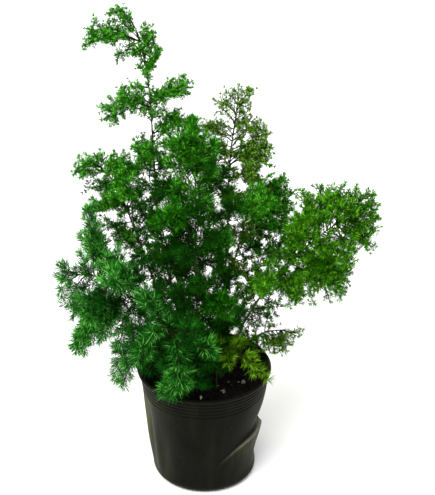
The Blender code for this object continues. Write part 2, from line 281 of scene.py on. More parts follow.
# %% From arrays to a piece
def add_piece(name, points, faces, material, body_slot, uv=None, uv_name="OFBake"):
    """A mesh object from an array of points and an array of faces with equal corners."""
    points = np.asarray(points, dtype=np.float32).reshape(-1, 3)
    faces = np.asarray(faces, dtype=np.int32)
    corners = faces.shape[1]
    mesh = bpy.data.meshes.new(name)
    mesh.vertices.add(len(points))
    mesh.vertices.foreach_set("co", points.ravel())
    mesh.loops.add(faces.size)
    mesh.loops.foreach_set("vertex_index", faces.ravel())
    mesh.polygons.add(len(faces))
    mesh.polygons.foreach_set("loop_start", np.arange(len(faces), dtype=np.int32) * corners)
    mesh.polygons.foreach_set("use_smooth", np.full(len(faces), True))
    if uv is not None:
        layer = mesh.uv_layers.new(name=uv_name)
        layer.uv.foreach_set("vector", uv[faces.ravel()].astype(np.float32).ravel())
    mesh.update(calc_edges=True)
    mesh.validate()
    mesh.materials.append(material)
    piece = bpy.data.objects.new(name, mesh)
    bpy.context.collection.objects.link(piece)
    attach(piece, "root")
    return piece


def grid_faces(rows, columns):
    """Four-cornered faces of a grid whose last column joins its first."""
    row, column = np.meshgrid(np.arange(rows - 1), np.arange(columns), indexing="ij")
    after = (column + 1) % columns
    corners = np.stack([row * columns + column, row * columns + after,
                        (row + 1) * columns + after, (row + 1) * columns + column], axis=-1)
    return corners.reshape(-1, 4)


def unit(vectors):
    """The same directions with length 1."""
    return vectors / np.maximum(np.linalg.norm(vectors, axis=-1, keepdims=True), 1e-12)


def side_axes(forward):
    """Two directions at right angles to each forward direction and to each other."""
    helper = np.where(np.abs(forward[..., 2:3]) < 0.9, [[0.0, 0.0, 1.0]], [[0.0, 1.0, 0.0]])
    across = unit(np.cross(forward, helper))
    return across, np.cross(forward, across)


def sideways(forward, turn):
    """The direction at right angles to forward that a turn round it picks: the cosine of the turn
    times one side direction, plus its sine times the other."""
    across, above = side_axes(forward)
    return np.cos(turn)[:, None] * across + np.sin(turn)[:, None] * above


def travelled(line):
    """How far along a line each of its points lies: the running sum of the steps' lengths."""
    steps = np.linalg.norm(np.diff(line[:, :3], axis=0), axis=1)
    return np.concatenate([[0.0], np.cumsum(steps)])


def resampled(line, places):
    """Every column of a line at some places, which are distances along it."""
    travel = travelled(line)
    return np.column_stack([np.interp(places, travel, column) for column in line.T])


def turned_points(radius, turn, height):
    """x, y and z of points at a radius, a turn and a height: the radius times the cosine and the
    sine of the turn, and the height."""
    return np.stack(np.broadcast_arrays(radius * np.cos(turn), radius * np.sin(turn), height),
                    axis=-1)


SPAN_SAMPLES = 12


def smooth_path(knots, count):
    """Even samples of a curve through the knots: each span is a cubic whose ends point along
    the chord of the neighbouring knots."""
    ends = np.vstack([2 * knots[0] - knots[1], knots, 2 * knots[-1] - knots[-2]])
    share = np.linspace(0, 1, SPAN_SAMPLES, endpoint=False)[:, None]
    before, start, stop, after = (ends[shift:len(ends) - 3 + shift, None] for shift in range(4))
    curve = 0.5 * (2 * start + (stop - before) * share
                   + (2 * before - 5 * start + 4 * stop - after) * share ** 2
                   + (3 * start - before - 3 * stop + after) * share ** 3)
    dense = np.vstack([curve.reshape(-1, knots.shape[1]), knots[-1:]])
    return resampled(dense, np.linspace(0.0, travelled(dense)[-1], count))


def capped_faces(rows, columns):
    """Triangles over a pole, rows of points around, and a pole at the far end."""
    quads = grid_faces(rows, columns) + 1
    step, after = np.arange(columns), (np.arange(columns) + 1) % columns
    last = 1 + (rows - 1) * columns
    start_pole = np.column_stack([0 * step, after + 1, step + 1])
    end_pole = np.column_stack([0 * step + last + columns, last + step, last + after])
    return np.vstack([start_pole, quads[:, [0, 1, 2]], quads[:, [0, 2, 3]], end_pole])


def repeated(faces, points_each, count):
    """The same faces for many equal shapes whose points follow each other."""
    return (faces[None] + points_each * np.arange(count)[:, None, None]).reshape(-1, 3)


def tubes(paths, radii, sides):
    """Closed round tubes along many paths at once. A point lies at its path's centre plus its
    radius times the cosine and the sine of its turn along two side directions, and each end is
    closed by one point. Returns points, triangles and each point's share of its length."""
    count, rings = paths.shape[:2]
    across, above = side_axes(unit(np.gradient(paths, axis=1)))
    turn = 2 * math.pi * np.arange(sides) / sides
    wheel = np.cos(turn)[:, None] * across[:, :, None] + np.sin(turn)[:, None] * above[:, :, None]
    body = paths[:, :, None] + radii[:, :, None, None] * wheel
    points = np.concatenate([paths[:, :1], body.reshape(count, -1, 3), paths[:, -1:]], axis=1)
    share = np.concatenate([[0.0], np.repeat(np.linspace(0, 1, rings), sides), [1.0]])
    faces = repeated(capped_faces(rings, sides), points.shape[1], count)
    return points.reshape(-1, 3), faces, np.tile(share, count)


print("surface helpers are ready")

# %% [markdown]
# ## Stems: read each cane's line from the model
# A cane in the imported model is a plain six-sided tube. Its middle line is all that the finished stem
# needs. The mesh has no order, so it is walked: from the ring at the foot, each step takes all the
# points that share an edge with the last ring, and the mean of a ring is one point of the line.


# %% Walk a tube's rings
FOOT_DEPTH = 0.001      # points this close to the lowest one belong to a cane's foot
CANE_POINTS = 90


def rings_from(corners, links, seed):
    """Layers of points, each one edge further from the seed points than the one before."""
    seen = np.zeros(len(corners), dtype=bool)
    seen[seed] = True
    layers = [np.flatnonzero(seen)]
    while len(layers[-1]):
        near = np.isin(links, layers[-1]).any(axis=1)
        found = np.setdiff1d(np.unique(links[near]), np.flatnonzero(seen))
        seen[found] = True
        layers.append(found)
    return layers[:-1]


def merged(node):
    """A CAD node's distinct points, and its edges between them."""
    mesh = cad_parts[node].data
    raw = np.empty(len(mesh.vertices) * 3, dtype=np.float32)
    mesh.vertices.foreach_get("co", raw)
    corners, index = np.unique(raw.reshape(-1, 3).round(6), axis=0, return_inverse=True)
    ends = np.empty(len(mesh.edges) * 2, dtype=np.int32)
    mesh.edges.foreach_get("vertices", ends)
    links = index.ravel()[ends].reshape(-1, 2)
    return corners.astype(float), links[links[:, 0] != links[:, 1]]


def centre_line(corners, layers):
    """The mean point and the mean radius of each layer, as rows of x, y, z and radius."""
    middles = np.array([corners[layer].mean(axis=0) for layer in layers])
    radii = [np.linalg.norm(corners[layer] - middle, axis=1).mean()
             for layer, middle in zip(layers, middles)]
    return np.column_stack([middles, radii])


def cane_line(node):
    """A cane's line and radius from its planted foot to its tip."""
    corners, links = merged(node)
    foot = np.flatnonzero(corners[:, 2] < corners[:, 2].min() + FOOT_DEPTH)
    return centre_line(corners, rings_from(corners, links, foot))


def spray_line(node, cane):
    """A spray's line and half width, from its stalk on the cane to its tip."""
    corners, links = merged(node)
    one_end = rings_from(corners, links, [0])[-1][:1]
    line = centre_line(corners, rings_from(corners, links, one_end))
    gaps = [np.linalg.norm(cane[:, :3] - end, axis=1).min() for end in (line[0, :3], line[-1, :3])]
    return line if gaps[0] < gaps[1] else line[::-1]


canes = {name: smooth_path(cane_line(name), CANE_POINTS) for name in sorted(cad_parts)
         if name.startswith("cane_")}
sprays = {}
for name in sorted(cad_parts):
    if name.startswith("spray_"):
        own = max((cane for cane in canes if name[6:].startswith(cane[5:])), key=len)
        sprays[name] = (own, spray_line(name, canes[own]))
print(len(canes), "canes and", len(sprays), "sprays were read")

# %% [markdown]
# ## The pot: a thin wall that has been squeezed
# A nursery pot is blown or pressed from film less than a millimetre thick, so it is never round for
# long. It could be a lathe profile with a displace modifier, but the folds have a place and a
# direction, so here the wall's radius is a function of the turn and the height: the straight cone,
# the rings under the rim, and then each dent as a small formula.

# %% The wall's radius
BASE_RADIUS = 0.058
CORNER_RADIUS = 0.009
LIP_OVERHANG = 0.0022
LIP_HEIGHT = 0.0045
WALL = 0.0009
FLOOR_THICKNESS = 0.0016
RING_COUNT = 5
RING_PITCH = 0.0044
RING_DEPTH = 0.00075
FOLD_FOOT = (math.radians(-80), 0.033)     # turn and height where the sharp fold starts
FOLD_TIP = (math.radians(-6), 0.0625)      # and where it juts out
FOLD_BOW = 0.014                           # how far the fold bows up between them
MEAN_RADIUS = 0.064                        # turns a distance round the wall into metres
# The dents. Each has a depth in metres, which is negative inwards, the turn and the height of its
# middle with the width of each in brackets, and its slant in radians of turn a metre of height.
DENTS = [(-0.0044, (-0.05, 0.55), (0.028, 0.026), 0), (-0.0044, (-0.05, 0.45), (0.074, 0.014), 0),
         (-0.0022, (math.radians(-158), 0.12), (0.062, 0.040), 0),
         (0.0012, (math.radians(-171), 0.10), (0.050, 0.040), 0),
         (-0.0016, (math.radians(-136), 0.16), (0.038, 0.030), 0),
         (-0.0008, (math.radians(172), 0.16), (0.058, 0.034), 0),
         (-0.0010, (math.radians(-88), 0.18), (0.062, 0.026), 14),
         (-0.0030, (math.radians(75), 0.20), (0.055, 0.030), -9),
         (0.0014, (math.radians(96), 0.10), (0.055, 0.030), -9)]
SLANT_HEIGHT = 0.06                        # where a slanting dent has its own turn


def ease(low, high, value):
    """0 below low, 1 above high, and a smooth step between: 3 t squared less 2 t cubed."""
    share = np.clip((value - low) / (high - low), 0.0, 1.0)
    return share * share * (3 - 2 * share)


def hump(value, middle, width):
    """A bell: the power of e whose exponent is less the square of the distance over width."""
    return np.exp(-((value - middle) / width) ** 2)


def from_fold(turn, height):
    """How far above the fold's line a point of the wall lies, and how strong the fold is there:
    none at its foot, full near its tip, none a little past it. The line slants from foot to tip,
    and a parabola over its length bows it up."""
    turn = (turn + math.pi) % (2 * math.pi) - math.pi
    start = np.array([FOLD_FOOT[0] * MEAN_RADIUS, FOLD_FOOT[1]])
    reach = np.array([FOLD_TIP[0] * MEAN_RADIUS, FOLD_TIP[1]]) - start
    along = unit(reach)
    onwards, upwards = turn * MEAN_RADIUS - start[0], height - start[1]
    share = (onwards * along[0] + upwards * along[1]) / np.linalg.norm(reach)
    above = upwards * along[0] - onwards * along[1] - FOLD_BOW * 4 * share * (1 - share)
    return above, ease(0.0, 0.9, share) * (1 - ease(1.06, 1.30, share))


def fold(turn, height):
    """The sharp fold: the wall rises slowly to a ridge below the slanting line, and drops back
    quickly above it."""
    above, strength = from_fold(turn, height)
    step = ease(-0.0020, 0.0044, above)
    ridge = 0.0036 * np.exp(np.minimum(above, 0) / 0.013) * (1 - step)
    drop = -0.0030 * step * np.exp(-np.maximum(above, 0) / 0.016)
    return strength * (ridge + drop)


def painted_fold_light(turn, height):
    """Two amounts from 0 to 1 for the finish: a pale line along the ridge, which is a painted
    highlight, and a dull green painted sheen on the panel under it and down the pot's two
    sides."""
    above, strength = from_fold(turn, height)
    # A pale line along the ridge: a painted highlight.
    painted_ridge_highlight = strength * hump(above, -0.0002, 0.0013)
    # A dull green painted sheen on the panel under the ridge and down the pot's two sides.
    under = strength * ease(-0.030, -0.002, above) * (above < 0)
    sides = hump(turn, -math.pi, 0.50) + hump(turn, math.pi, 0.50) + 0.8 * hump(turn, 0.0, 0.30)
    return painted_ridge_highlight, np.clip(0.9 * under + sides, 0.0, 1.0)


def dents(turn, height):
    """The sum of the dents, the fold and a slow wobble, which die out at the stiff rim and at the
    corner of the floor. A dent is its depth times a bell round the turn times a bell in height."""
    turn = (turn + math.pi) % (2 * math.pi) - math.pi
    soft = sum(depth * hump(turn + slant * (height - SLANT_HEIGHT), *across) * hump(height, *up)
               for depth, across, up, slant in DENTS)
    wobble = (0.0005 * np.sin(3 * turn + 0.8) + 0.0004 * np.sin(5 * turn + 60 * height)
              + 0.0002 * np.sin(9 * turn - 90 * height))
    stiff = ease(0.002, 0.016, height) * (1 - ease(POT_HEIGHT - 0.026, POT_HEIGHT - 0.012, height))
    return stiff * (soft + wobble + fold(turn, height))


def cone_radius(height):
    """The straight cone from the floor to the lip."""
    return BASE_RADIUS + (RIM_RADIUS - LIP_OVERHANG - BASE_RADIUS) * height / POT_HEIGHT


def wall_radius(turn, height):
    """The cone, less the rings, whose depth runs as a cosine down the wall, plus the dents."""
    below_lip = POT_HEIGHT - LIP_HEIGHT - height
    in_rings = ease(0.0, 0.001, below_lip) * (1 - ease((RING_COUNT - 0.3) * RING_PITCH,
                                                       RING_COUNT * RING_PITCH, below_lip))
    rings = -RING_DEPTH * in_rings * (0.5 - 0.5 * np.cos(2 * math.pi * below_lip / RING_PITCH))
    return cone_radius(height) + rings + dents(turn, height)


half_way = float(wall_radius(-math.pi / 2, POT_HEIGHT / 2))
print("wall at the front, half way up:", round(1000 * half_way, 1), "mm from the middle")

# %% The pot's shell as one closed grid
POT_COLUMNS = 320
CORNER_STEPS = 8
FLOOR_STEPS = 8
FLOOR_HUB = 0.1         # share of the floor's radius where its innermost row lies
LIP_STEPS = 16
WALL_STEP = 0.0012      # metres from row to row, half of it where the rings are
INSIDE_STEP = 0.0024
RING_BAND = 0.030       # the rings lie within this distance of the rim
LIP_MIDDLE = 0.35       # share of the lip's height that lies above its widest place
RIM_SWAY = 0.006        # how far from round the rim is, as a share of its radius

turn = 2 * math.pi * np.arange(POT_COLUMNS) / POT_COLUMNS
floor_out = np.linspace(FLOOR_HUB, 1.0, FLOOR_STEPS) * (BASE_RADIUS - CORNER_RADIUS)
bend = np.linspace(-math.pi / 2, 0, CORNER_STEPS + 1)[1:]
corner_out = (BASE_RADIUS - CORNER_RADIUS + CORNER_RADIUS * np.cos(bend))[:, None]
corner_up = CORNER_RADIUS + CORNER_RADIUS * np.sin(bend)
corner_cone = (cone_radius(corner_up) - BASE_RADIUS)[:, None]
outside = np.concatenate([
    np.arange(CORNER_RADIUS + WALL_STEP, POT_HEIGHT - RING_BAND, WALL_STEP),
    np.arange(POT_HEIGHT - RING_BAND, POT_HEIGHT - LIP_HEIGHT - 0.0003, WALL_STEP / 2)])
inside = np.arange(POT_HEIGHT - LIP_HEIGHT, FLOOR_THICKNESS + 0.004, -INSIDE_STEP)
lip_bend = np.linspace(-0.5 * math.pi, math.pi, LIP_STEPS + 1)
lip_half = (LIP_OVERHANG + WALL) / 2
lip_radius = RIM_RADIUS - lip_half + lip_half * np.cos(lip_bend)
lip_rise = np.where(lip_bend < 0, 1 - LIP_MIDDLE, LIP_MIDDLE) * LIP_HEIGHT * np.sin(lip_bend)

# Rows in order: out under the floor, round the corner, up the outside, over the lip, down the
# inside and in over the floor.
rows = [(floor_out[:, None], 0.0 * floor_out),
        (corner_out + corner_cone + dents(turn[None], corner_up[:, None]), corner_up),
        (wall_radius(turn[None], outside[:, None]), outside),
        (lip_radius[:, None], POT_HEIGHT - LIP_HEIGHT * LIP_MIDDLE + lip_rise),
        (wall_radius(turn[None], inside[:, None]) - WALL, inside),
        (floor_out[::-1, None], FLOOR_THICKNESS + 0.0 * floor_out)]
radii = np.vstack([np.broadcast_to(radius, (len(radius), POT_COLUMNS)) for radius, _ in rows])
heights = np.concatenate([height for _, height in rows])
sway = RIM_SWAY * np.cos(2 * turn + 0.5)[None] * ease(0.7, 1.0, heights / POT_HEIGHT)[:, None]
radii = np.minimum(radii * (1 + sway), RIM_RADIUS * (1 + RIM_SWAY))
shell = turned_points(radii, turn, heights[:, None])
shell_points = np.vstack([[[0, 0, 0]], shell.reshape(-1, 3), [[0, 0, FLOOR_THICKNESS]]])
shell_faces = capped_faces(len(heights), POT_COLUMNS)
# The painted highlight on the ridge and the painted sheen on the sides, kept as the pot's map.
marks = np.stack([np.broadcast_to(mark, radii.shape) for mark in
                  painted_fold_light(turn[None] % (2 * math.pi) - 2 * math.pi * (turn[None] > math.pi),
                               heights[:, None])], axis=-1)
marks = np.vstack([[[0, 0]], marks.reshape(-1, 2), [[0, 0]]])
print(len(shell_faces), "triangles in the pot")

# %% [markdown]
# ## Pot film: black with olive streaks, and painted sheen and highlight
# Recycled black polyethylene is not quite black: it has fine, slightly green streaks that run up
# the wall, and specks of dust. Over these a dull green sheen is painted down the pot's two sides
# and on the panel under the sharp fold, and a pale line along the fold's ridge is a painted
# highlight. Painting it by hand would do, but here the painted highlight and the painted sheen
# are two amounts that the wall's own formula gives, kept in the piece's map, and noises break
# them up.

# %% Pot finish
pot_finish = Finish("black_pot_film", Specular_IOR_Level=0.03, Sheen_Weight=0.020,
                    Sheen_Roughness=0.45, Sheen_Tint=(0.62, 0.68, 0.26, 1.0))
chart = pot_finish.wire(pot_finish.node("ShaderNodeUVMap", {"uv_map": "marks"}))
split = pot_finish.node("ShaderNodeSeparateXYZ", {}, {0: chart})
# The first amount is the painted highlight on the ridge, the second the painted sheen.
painted_ridge_highlight, painted_sheen = pot_finish.wire(split, 0), pot_finish.wire(split, 1)
streaks = pot_finish.noise(60.0, detail=6.0, rough=0.66, stretch=(1.0, 1.0, 0.14))
cloud = pot_finish.noise(17.0, detail=3.0)
speckle = pot_finish.noise(420.0, detail=2.0)
bloom = (streaks * 0.55 + cloud * 0.45).clamped()
film = pot_finish.ramp(bloom, [(0.30, (0.0016, 0.0016, 0.0014)), (0.52, (0.0028, 0.0030, 0.0022)),
                               (0.72, (0.0075, 0.0085, 0.0040))])
# The colour of the painted sheen, a dull olive.
painted_sheen_colour = pot_finish.ramp(bloom, [(0.36, (0.0035, 0.0040, 0.0012)), (0.50, (0.018, 0.021, 0.0065)),
                                 (0.64, (0.085, 0.095, 0.040))])
# The painted sheen goes over the film down its two sides and under the fold.
film = pot_finish.mix(painted_sheen.clamped(), film, painted_sheen_colour)
# The painted highlight: a pale grey line along the ridge, broken by the streaks.
film = pot_finish.mix((painted_ridge_highlight * (streaks * 1.6)).clamped(), film, (0.17, 0.17, 0.12, 1.0))
# Specks of dust over the film with its painted sheen and highlight.
dust_and_painted_light = pot_finish.mix((speckle - 0.62).clamped() * 1.6, film, (0.030, 0.028, 0.020, 1.0))
pot_finish.paint(Base_Color=dust_and_painted_light, Roughness=(bloom * 0.35 + 0.30).clamped())
pot_finish.bump((streaks * 0.7 + speckle * 0.3), 0.0005, 0.6)
pot = add_piece("pot_shell", shell_points, shell_faces, pot_finish.material, "pot_plastic",
                uv=marks, uv_name="marks")
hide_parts("pot")
print("the pot has its film")

# %% [markdown]
# ### Drain holes
# Water leaves through a ring of round holes in the floor. They could be built into the grid, but a
# Boolean against a set of closed tubes is shorter. Its result is applied, so the holes are real in
# every view from below.

# %% Drain holes
DRAIN_COUNT = 6
DRAIN_RADIUS = 0.0045
DRAIN_RING = 0.050      # metres from the pot's middle
DRILL_HALF = 0.004      # how far a drill reaches below and above the ground
DRILL_SIDES = 20
drain_turn = 2 * math.pi * (np.arange(DRAIN_COUNT) + 0.5) / DRAIN_COUNT
drain_paths = turned_points(DRAIN_RING, drain_turn[:, None], DRILL_HALF * np.array([[-1, 0, 1]]))
drill_points, drill_faces, _ = tubes(drain_paths, np.full((DRAIN_COUNT, 3), DRAIN_RADIUS),
                                     DRILL_SIDES)
drill = add_piece("drill", drill_points, drill_faces, pot_finish.material, "pot_plastic")
cutter = pot.modifiers.new("drains", 'BOOLEAN')
cutter.object = drill
cutter.solver = 'EXACT'
cut_mesh = bpy.data.meshes.new_from_object(pot.evaluated_get(bpy.context.evaluated_depsgraph_get()))
pot.modifiers.clear()
pot.data = cut_mesh
bpy.data.objects.remove(drill)
print("pot shell has", len(pot.data.polygons), "faces with its drain holes")

# %% [markdown]
# ## Potting soil: a rough field and loose crumbs
# Peat and bark compost is a heap of crumbs of every size. A bump in the finish alone would look
# flat from the side. So one sheet with a rough height gives the settled surface, and many separate
# crumbs of a few faces each give it real depth and shadow. White grains of perlite lie among them.

# %% Soil body
SOIL_COLUMNS = 220
SOIL_ROWS = 64
SIDE_ROWS = 14
UNDER_ROWS = 10
CLEARANCE = 0.0004      # between the soil and the pot
draw = np.random.default_rng(11)


def value_noise(where, cell, seed):
    """Smooth random heights from -1 to 1: random values on a grid of cells, blended with an
    eased share along x and along y."""
    table = np.random.default_rng(seed).uniform(-1, 1, (64, 64))
    at = where / cell + 20
    corner = np.floor(at).astype(int) % 63
    share = ease(0.0, 1.0, at - np.floor(at))
    x, y, u, v = corner[..., 0], corner[..., 1], share[..., 0], share[..., 1]
    return ((table[x, y] * (1 - u) + table[x + 1, y] * u) * (1 - v)
            + (table[x, y + 1] * (1 - u) + table[x + 1, y + 1] * u) * v)


def soil_height(where):
    """The settled surface: a slight rise in the middle, and three sizes of noise on it."""
    away = np.linalg.norm(where, axis=-1) / RIM_RADIUS
    mound = 0.003 * (1 - ease(0.0, 0.9, away)) - 0.0015
    return (SOIL_LEVEL + mound + 0.0016 * value_noise(where, 0.011, 3)
            + 0.0010 * value_noise(where, 0.0043, 5) + 0.0006 * value_noise(where, 0.0019, 7))


soil_turn = 2 * math.pi * np.arange(SOIL_COLUMNS) / SOIL_COLUMNS
edge = wall_radius(soil_turn, SOIL_LEVEL) - WALL - CLEARANCE
share = np.linspace(0.995, 0.01, SOIL_ROWS)[:, None]
top = turned_points(share * edge, soil_turn, 0.0)
top[..., 2] = soil_height(top[..., :2])
side_height = np.linspace(0.010, SOIL_LEVEL - 0.004, SIDE_ROWS)[:, None]
side_radius = wall_radius(soil_turn[None], side_height) - WALL - CLEARANCE
side = turned_points(side_radius, soil_turn, side_height)
under_radius = np.linspace(FLOOR_HUB, 1.0, UNDER_ROWS)[:, None] * (BASE_RADIUS - CORNER_RADIUS)
under = turned_points(under_radius, soil_turn, FLOOR_THICKNESS + CLEARANCE)
soil_points = np.vstack([[[0, 0, FLOOR_THICKNESS + CLEARANCE]], under.reshape(-1, 3),
                         side.reshape(-1, 3), top.reshape(-1, 3),
                         [[0, 0, float(soil_height(np.zeros(2)))]]])
soil_faces = capped_faces(len(under) + len(side) + len(top), SOIL_COLUMNS)
print(len(soil_faces), "triangles in the soil")


# %% Crumbs and grains
def lumps(middles, sizes, rows, columns, rough, rng):
    """Closed lumps: a ball of rows and columns, flattened and turned at random, whose radius
    swells and shrinks with three random waves."""
    count = len(middles)
    fall = math.pi * np.arange(1, rows + 1) / (rows + 1)
    turn = 2 * math.pi * np.arange(columns) / columns
    ball = turned_points(np.sin(fall)[:, None], turn, -np.cos(fall)[:, None])
    ball = np.vstack([[[0, 0, -1]], ball.reshape(-1, 3), [[0, 0, 1]]])
    waves = rng.normal(0, 2.2, (count, 3, 3))
    phase = rng.uniform(0, 6.3, (count, 3))
    swell = 1 + rough * np.sin(np.einsum("pk,cwk->cpw", ball, waves) + phase[:, None]).mean(axis=2)
    stretch = rng.uniform(0.65, 1.25, (count, 1, 3))
    turned, _ = np.linalg.qr(rng.normal(size=(count, 3, 3)))
    turned *= np.sign(np.linalg.det(turned))[:, None, None]
    shaped = ball[None] * swell[..., None] * stretch * sizes[:, None, None]
    points = np.einsum("cpk,ckj->cpj", shaped, turned) + middles[:, None]
    return points.reshape(-1, 3), repeated(capped_faces(rows, columns), len(ball), count)


def scattered(count, inner, outer, rng):
    """Places on the soil between two shares of its radius, evenly spread over its area."""
    away = np.sqrt(rng.uniform(inner ** 2, outer ** 2, count)) * float(edge.min())
    turn = rng.uniform(0, 2 * math.pi, count)
    where = turned_points(away, turn, 0.0)
    where[:, 2] = soil_height(where[:, :2])
    return where


def stacked(parts):
    """Several sets of points and faces as one set, with the face numbers moved up."""
    shift, points, faces = 0, [], []
    for part_points, part_faces in parts:
        points.append(part_points)
        faces.append(part_faces + shift)
        shift += len(part_points)
    return np.vstack(points), np.vstack(faces)


CRUMBS = 1500
crumb_size = 0.0006 + 0.0016 * draw.uniform(0, 1, CRUMBS) ** 2.5
crumb_at = scattered(CRUMBS, 0.0, 0.965, draw) + crumb_size[:, None] * [[0, 0, 0.35]]
crumbs = lumps(crumb_at, crumb_size, 3, 6, 0.55, draw)
soil_finish = Finish("potting_compost", Roughness=0.95, Specular_IOR_Level=0.15)
grit = soil_finish.noise(900.0, detail=4.0, rough=0.7)
clods = soil_finish.noise(140.0, detail=3.0)
soil_finish.paint(Base_Color=soil_finish.ramp(
    (grit * 0.6 + clods * 0.4).clamped(),
    [(0.35, (0.0012, 0.0009, 0.0006)), (0.54, (0.0035, 0.0026, 0.0017)),
     (0.68, (0.013, 0.009, 0.006)), (0.82, (0.050, 0.037, 0.025))]))
soil_finish.bump(grit, 0.0008)
soil = add_piece("soil_bed", *stacked([(soil_points, soil_faces), crumbs]),
                 soil_finish.material, "potting_soil")
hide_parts("soil")

# %% Perlite
PERLITE_BITS = 34
GRAIN_SHRINK = 0.82     # share of a grain's size that its lump is built at
grain_nodes = sorted(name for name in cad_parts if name.startswith("perlite"))
grain_boxes = np.array([[list(corner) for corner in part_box(name)] for name in grain_nodes])
grain_middle = grain_boxes.mean(axis=1)
grain_size = (grain_boxes[:, 1] - grain_boxes[:, 0]).mean(axis=1) / 2
bit_size = 0.0004 + 0.0011 * draw.uniform(0, 1, PERLITE_BITS) ** 2
bit_at = scattered(PERLITE_BITS, 0.1, 0.95, draw) + bit_size[:, None] * [[0, 0, 0.7]]
grains = stacked([lumps(grain_middle, GRAIN_SHRINK * grain_size, 16, 24, 0.40, draw),
                  lumps(bit_at, bit_size, 5, 8, 0.5, draw)])
perlite_finish = Finish("perlite", Roughness=0.9, Specular_IOR_Level=0.2)
pores = perlite_finish.noise(1500.0, detail=3.0, rough=0.65)
grime = perlite_finish.noise(38.0, detail=1.0)
perlite_finish.paint(Base_Color=perlite_finish.ramp(
    (pores * 0.45 + grime * 0.55).clamped(),
    [(0.34, (0.035, 0.028, 0.020)), (0.48, (0.17, 0.15, 0.11)), (0.58, (0.66, 0.64, 0.58))]))
perlite_finish.bump(pores, 0.0006)
perlite = add_piece("perlite_grains", *grains, perlite_finish.material, "perlite")
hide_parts(*grain_nodes)
print("soil, crumbs and", len(grain_nodes) + PERLITE_BITS, "grains of perlite are in")

# %% [markdown]
# ## Needles and twigs
# What look like an asparagus fern's leaves are needle-shaped shoots a few millimetres long. They
# stand in small star-shaped tufts along thin twigs, and the twigs wind out of each side branch on
# all sides. A particle system could scatter needles, but it knows nothing of tufts or twigs. So a
# branch is grown here in the plant's own order: a middle twig, side twigs a golden turn apart,
# tufts along each, and a ring of needles in each tuft, all as whole arrays.
#
# Each needle and twig carries two numbers as its map: a tone that says how light it is, and how far
# along it a point lies. The colour reads only those two.

# %% Needle shape
GOLDEN_TURN = math.pi * (3 - math.sqrt(5))
NEEDLE_FACES = np.array([[0, 2, 1], [0, 3, 2], [0, 1, 3], [4, 1, 2], [4, 2, 3], [4, 3, 1]])
TWIG_TONE = 0.955
TONE_SPREAD = 0.012
SPINE_POINTS = 60       # along a branch's middle line
SPINE_RADIUS = 0.00080
TWIG_POINTS = 5
TWIG_RADIUS = 0.00040
TWIG_LEAN = 64          # degrees between a branch and its twigs
TWIG_CURL = 0.20        # how far a twig bends back along its branch
FORKS_FROM = 0.009      # metres: a shorter twig does not fork


def needles(base, direction, length, width, tone, lift):
    """Slim spindles: a point at the base, a ring of three points at 0.4 of the length, and a
    point at the tip. The tip is lifted sideways by lift, and the ring by a third of that."""
    count = len(base)
    across, above = side_axes(direction)
    turn = 2 * math.pi * np.arange(3) / 3
    middle = base + 0.4 * length[:, None] * direction + 0.3 * lift
    wheel = np.cos(turn)[:, None] * across[:, None] + np.sin(turn)[:, None] * above[:, None]
    ring = middle[:, None] + width[:, None, None] * wheel
    tip = base + length[:, None] * direction + lift
    points = np.concatenate([base[:, None], ring, tip[:, None]], axis=1).reshape(-1, 3)
    spread = np.array([0.0, -1.0, 0.0, 1.0, 0.0]) * TONE_SPREAD
    uv = np.stack([tone[:, None] + spread, np.tile([0.02, 0.40, 0.42, 0.44, 0.98], (count, 1))],
                  axis=-1)
    return points, repeated(NEEDLE_FACES, 5, count), uv.reshape(-1, 2)


def twig_tubes(paths, radii, sides):
    """Twigs as slim tubes, with the twigs' own tone."""
    points, faces, share = tubes(paths, radii, sides)
    ring = np.arange(len(points)) % 3 - 1
    return points, faces, np.column_stack([TWIG_TONE + TONE_SPREAD * ring, 0.02 + 0.96 * share])


class Look:
    """How one kind of branch grows: its finish, its darkest and lightest tone, a needle's length
    and half width, the needles in a tuft and their splay in degrees, the distances between tufts
    and between twigs, where along the branch twigs start, and the forks of a twig."""

    def __init__(self, finish, tones, needle=0.0082, per_tuft=12, pitch=0.0032, twig_step=0.0031,
                 width=0.00044, start=0.12, splay=(30, 95), forks=3):
        self.finish, self.tones, self.needle, self.per_tuft = finish, tones, needle, per_tuft
        self.pitch, self.twig_step, self.width, self.start = pitch, twig_step, width, start
        self.splay, self.forks = splay, forks

    def changed(self, **changes):
        """The same look with some of its values changed."""
        return Look(**{**vars(self), **changes})


def along_line(line, share):
    """Points, directions and radii at shares of a line's length."""
    length = travelled(line)[-1]
    forward = unit(np.gradient(line[:, :3], axis=0))
    at = resampled(np.column_stack([line, forward]), share * length)
    return at[:, :3], unit(at[:, 4:7]), at[:, 3], length


def twig_point(twigs, pick, s):
    """A twig's curve: foot plus reach times (s times its direction plus s squared its curl)."""
    foot, direction, reach, curl = (twigs[key][pick] for key in ("foot", "to", "reach", "curl"))
    s = s[:, None]
    return (foot + reach[:, None] * (s * direction + s ** 2 * curl),
            unit(direction + 2 * s * curl))


def joined_twigs(sets):
    """Several sets of twigs as one."""
    return {key: np.concatenate([one[key] for one in sets]) for key in sets[0]}


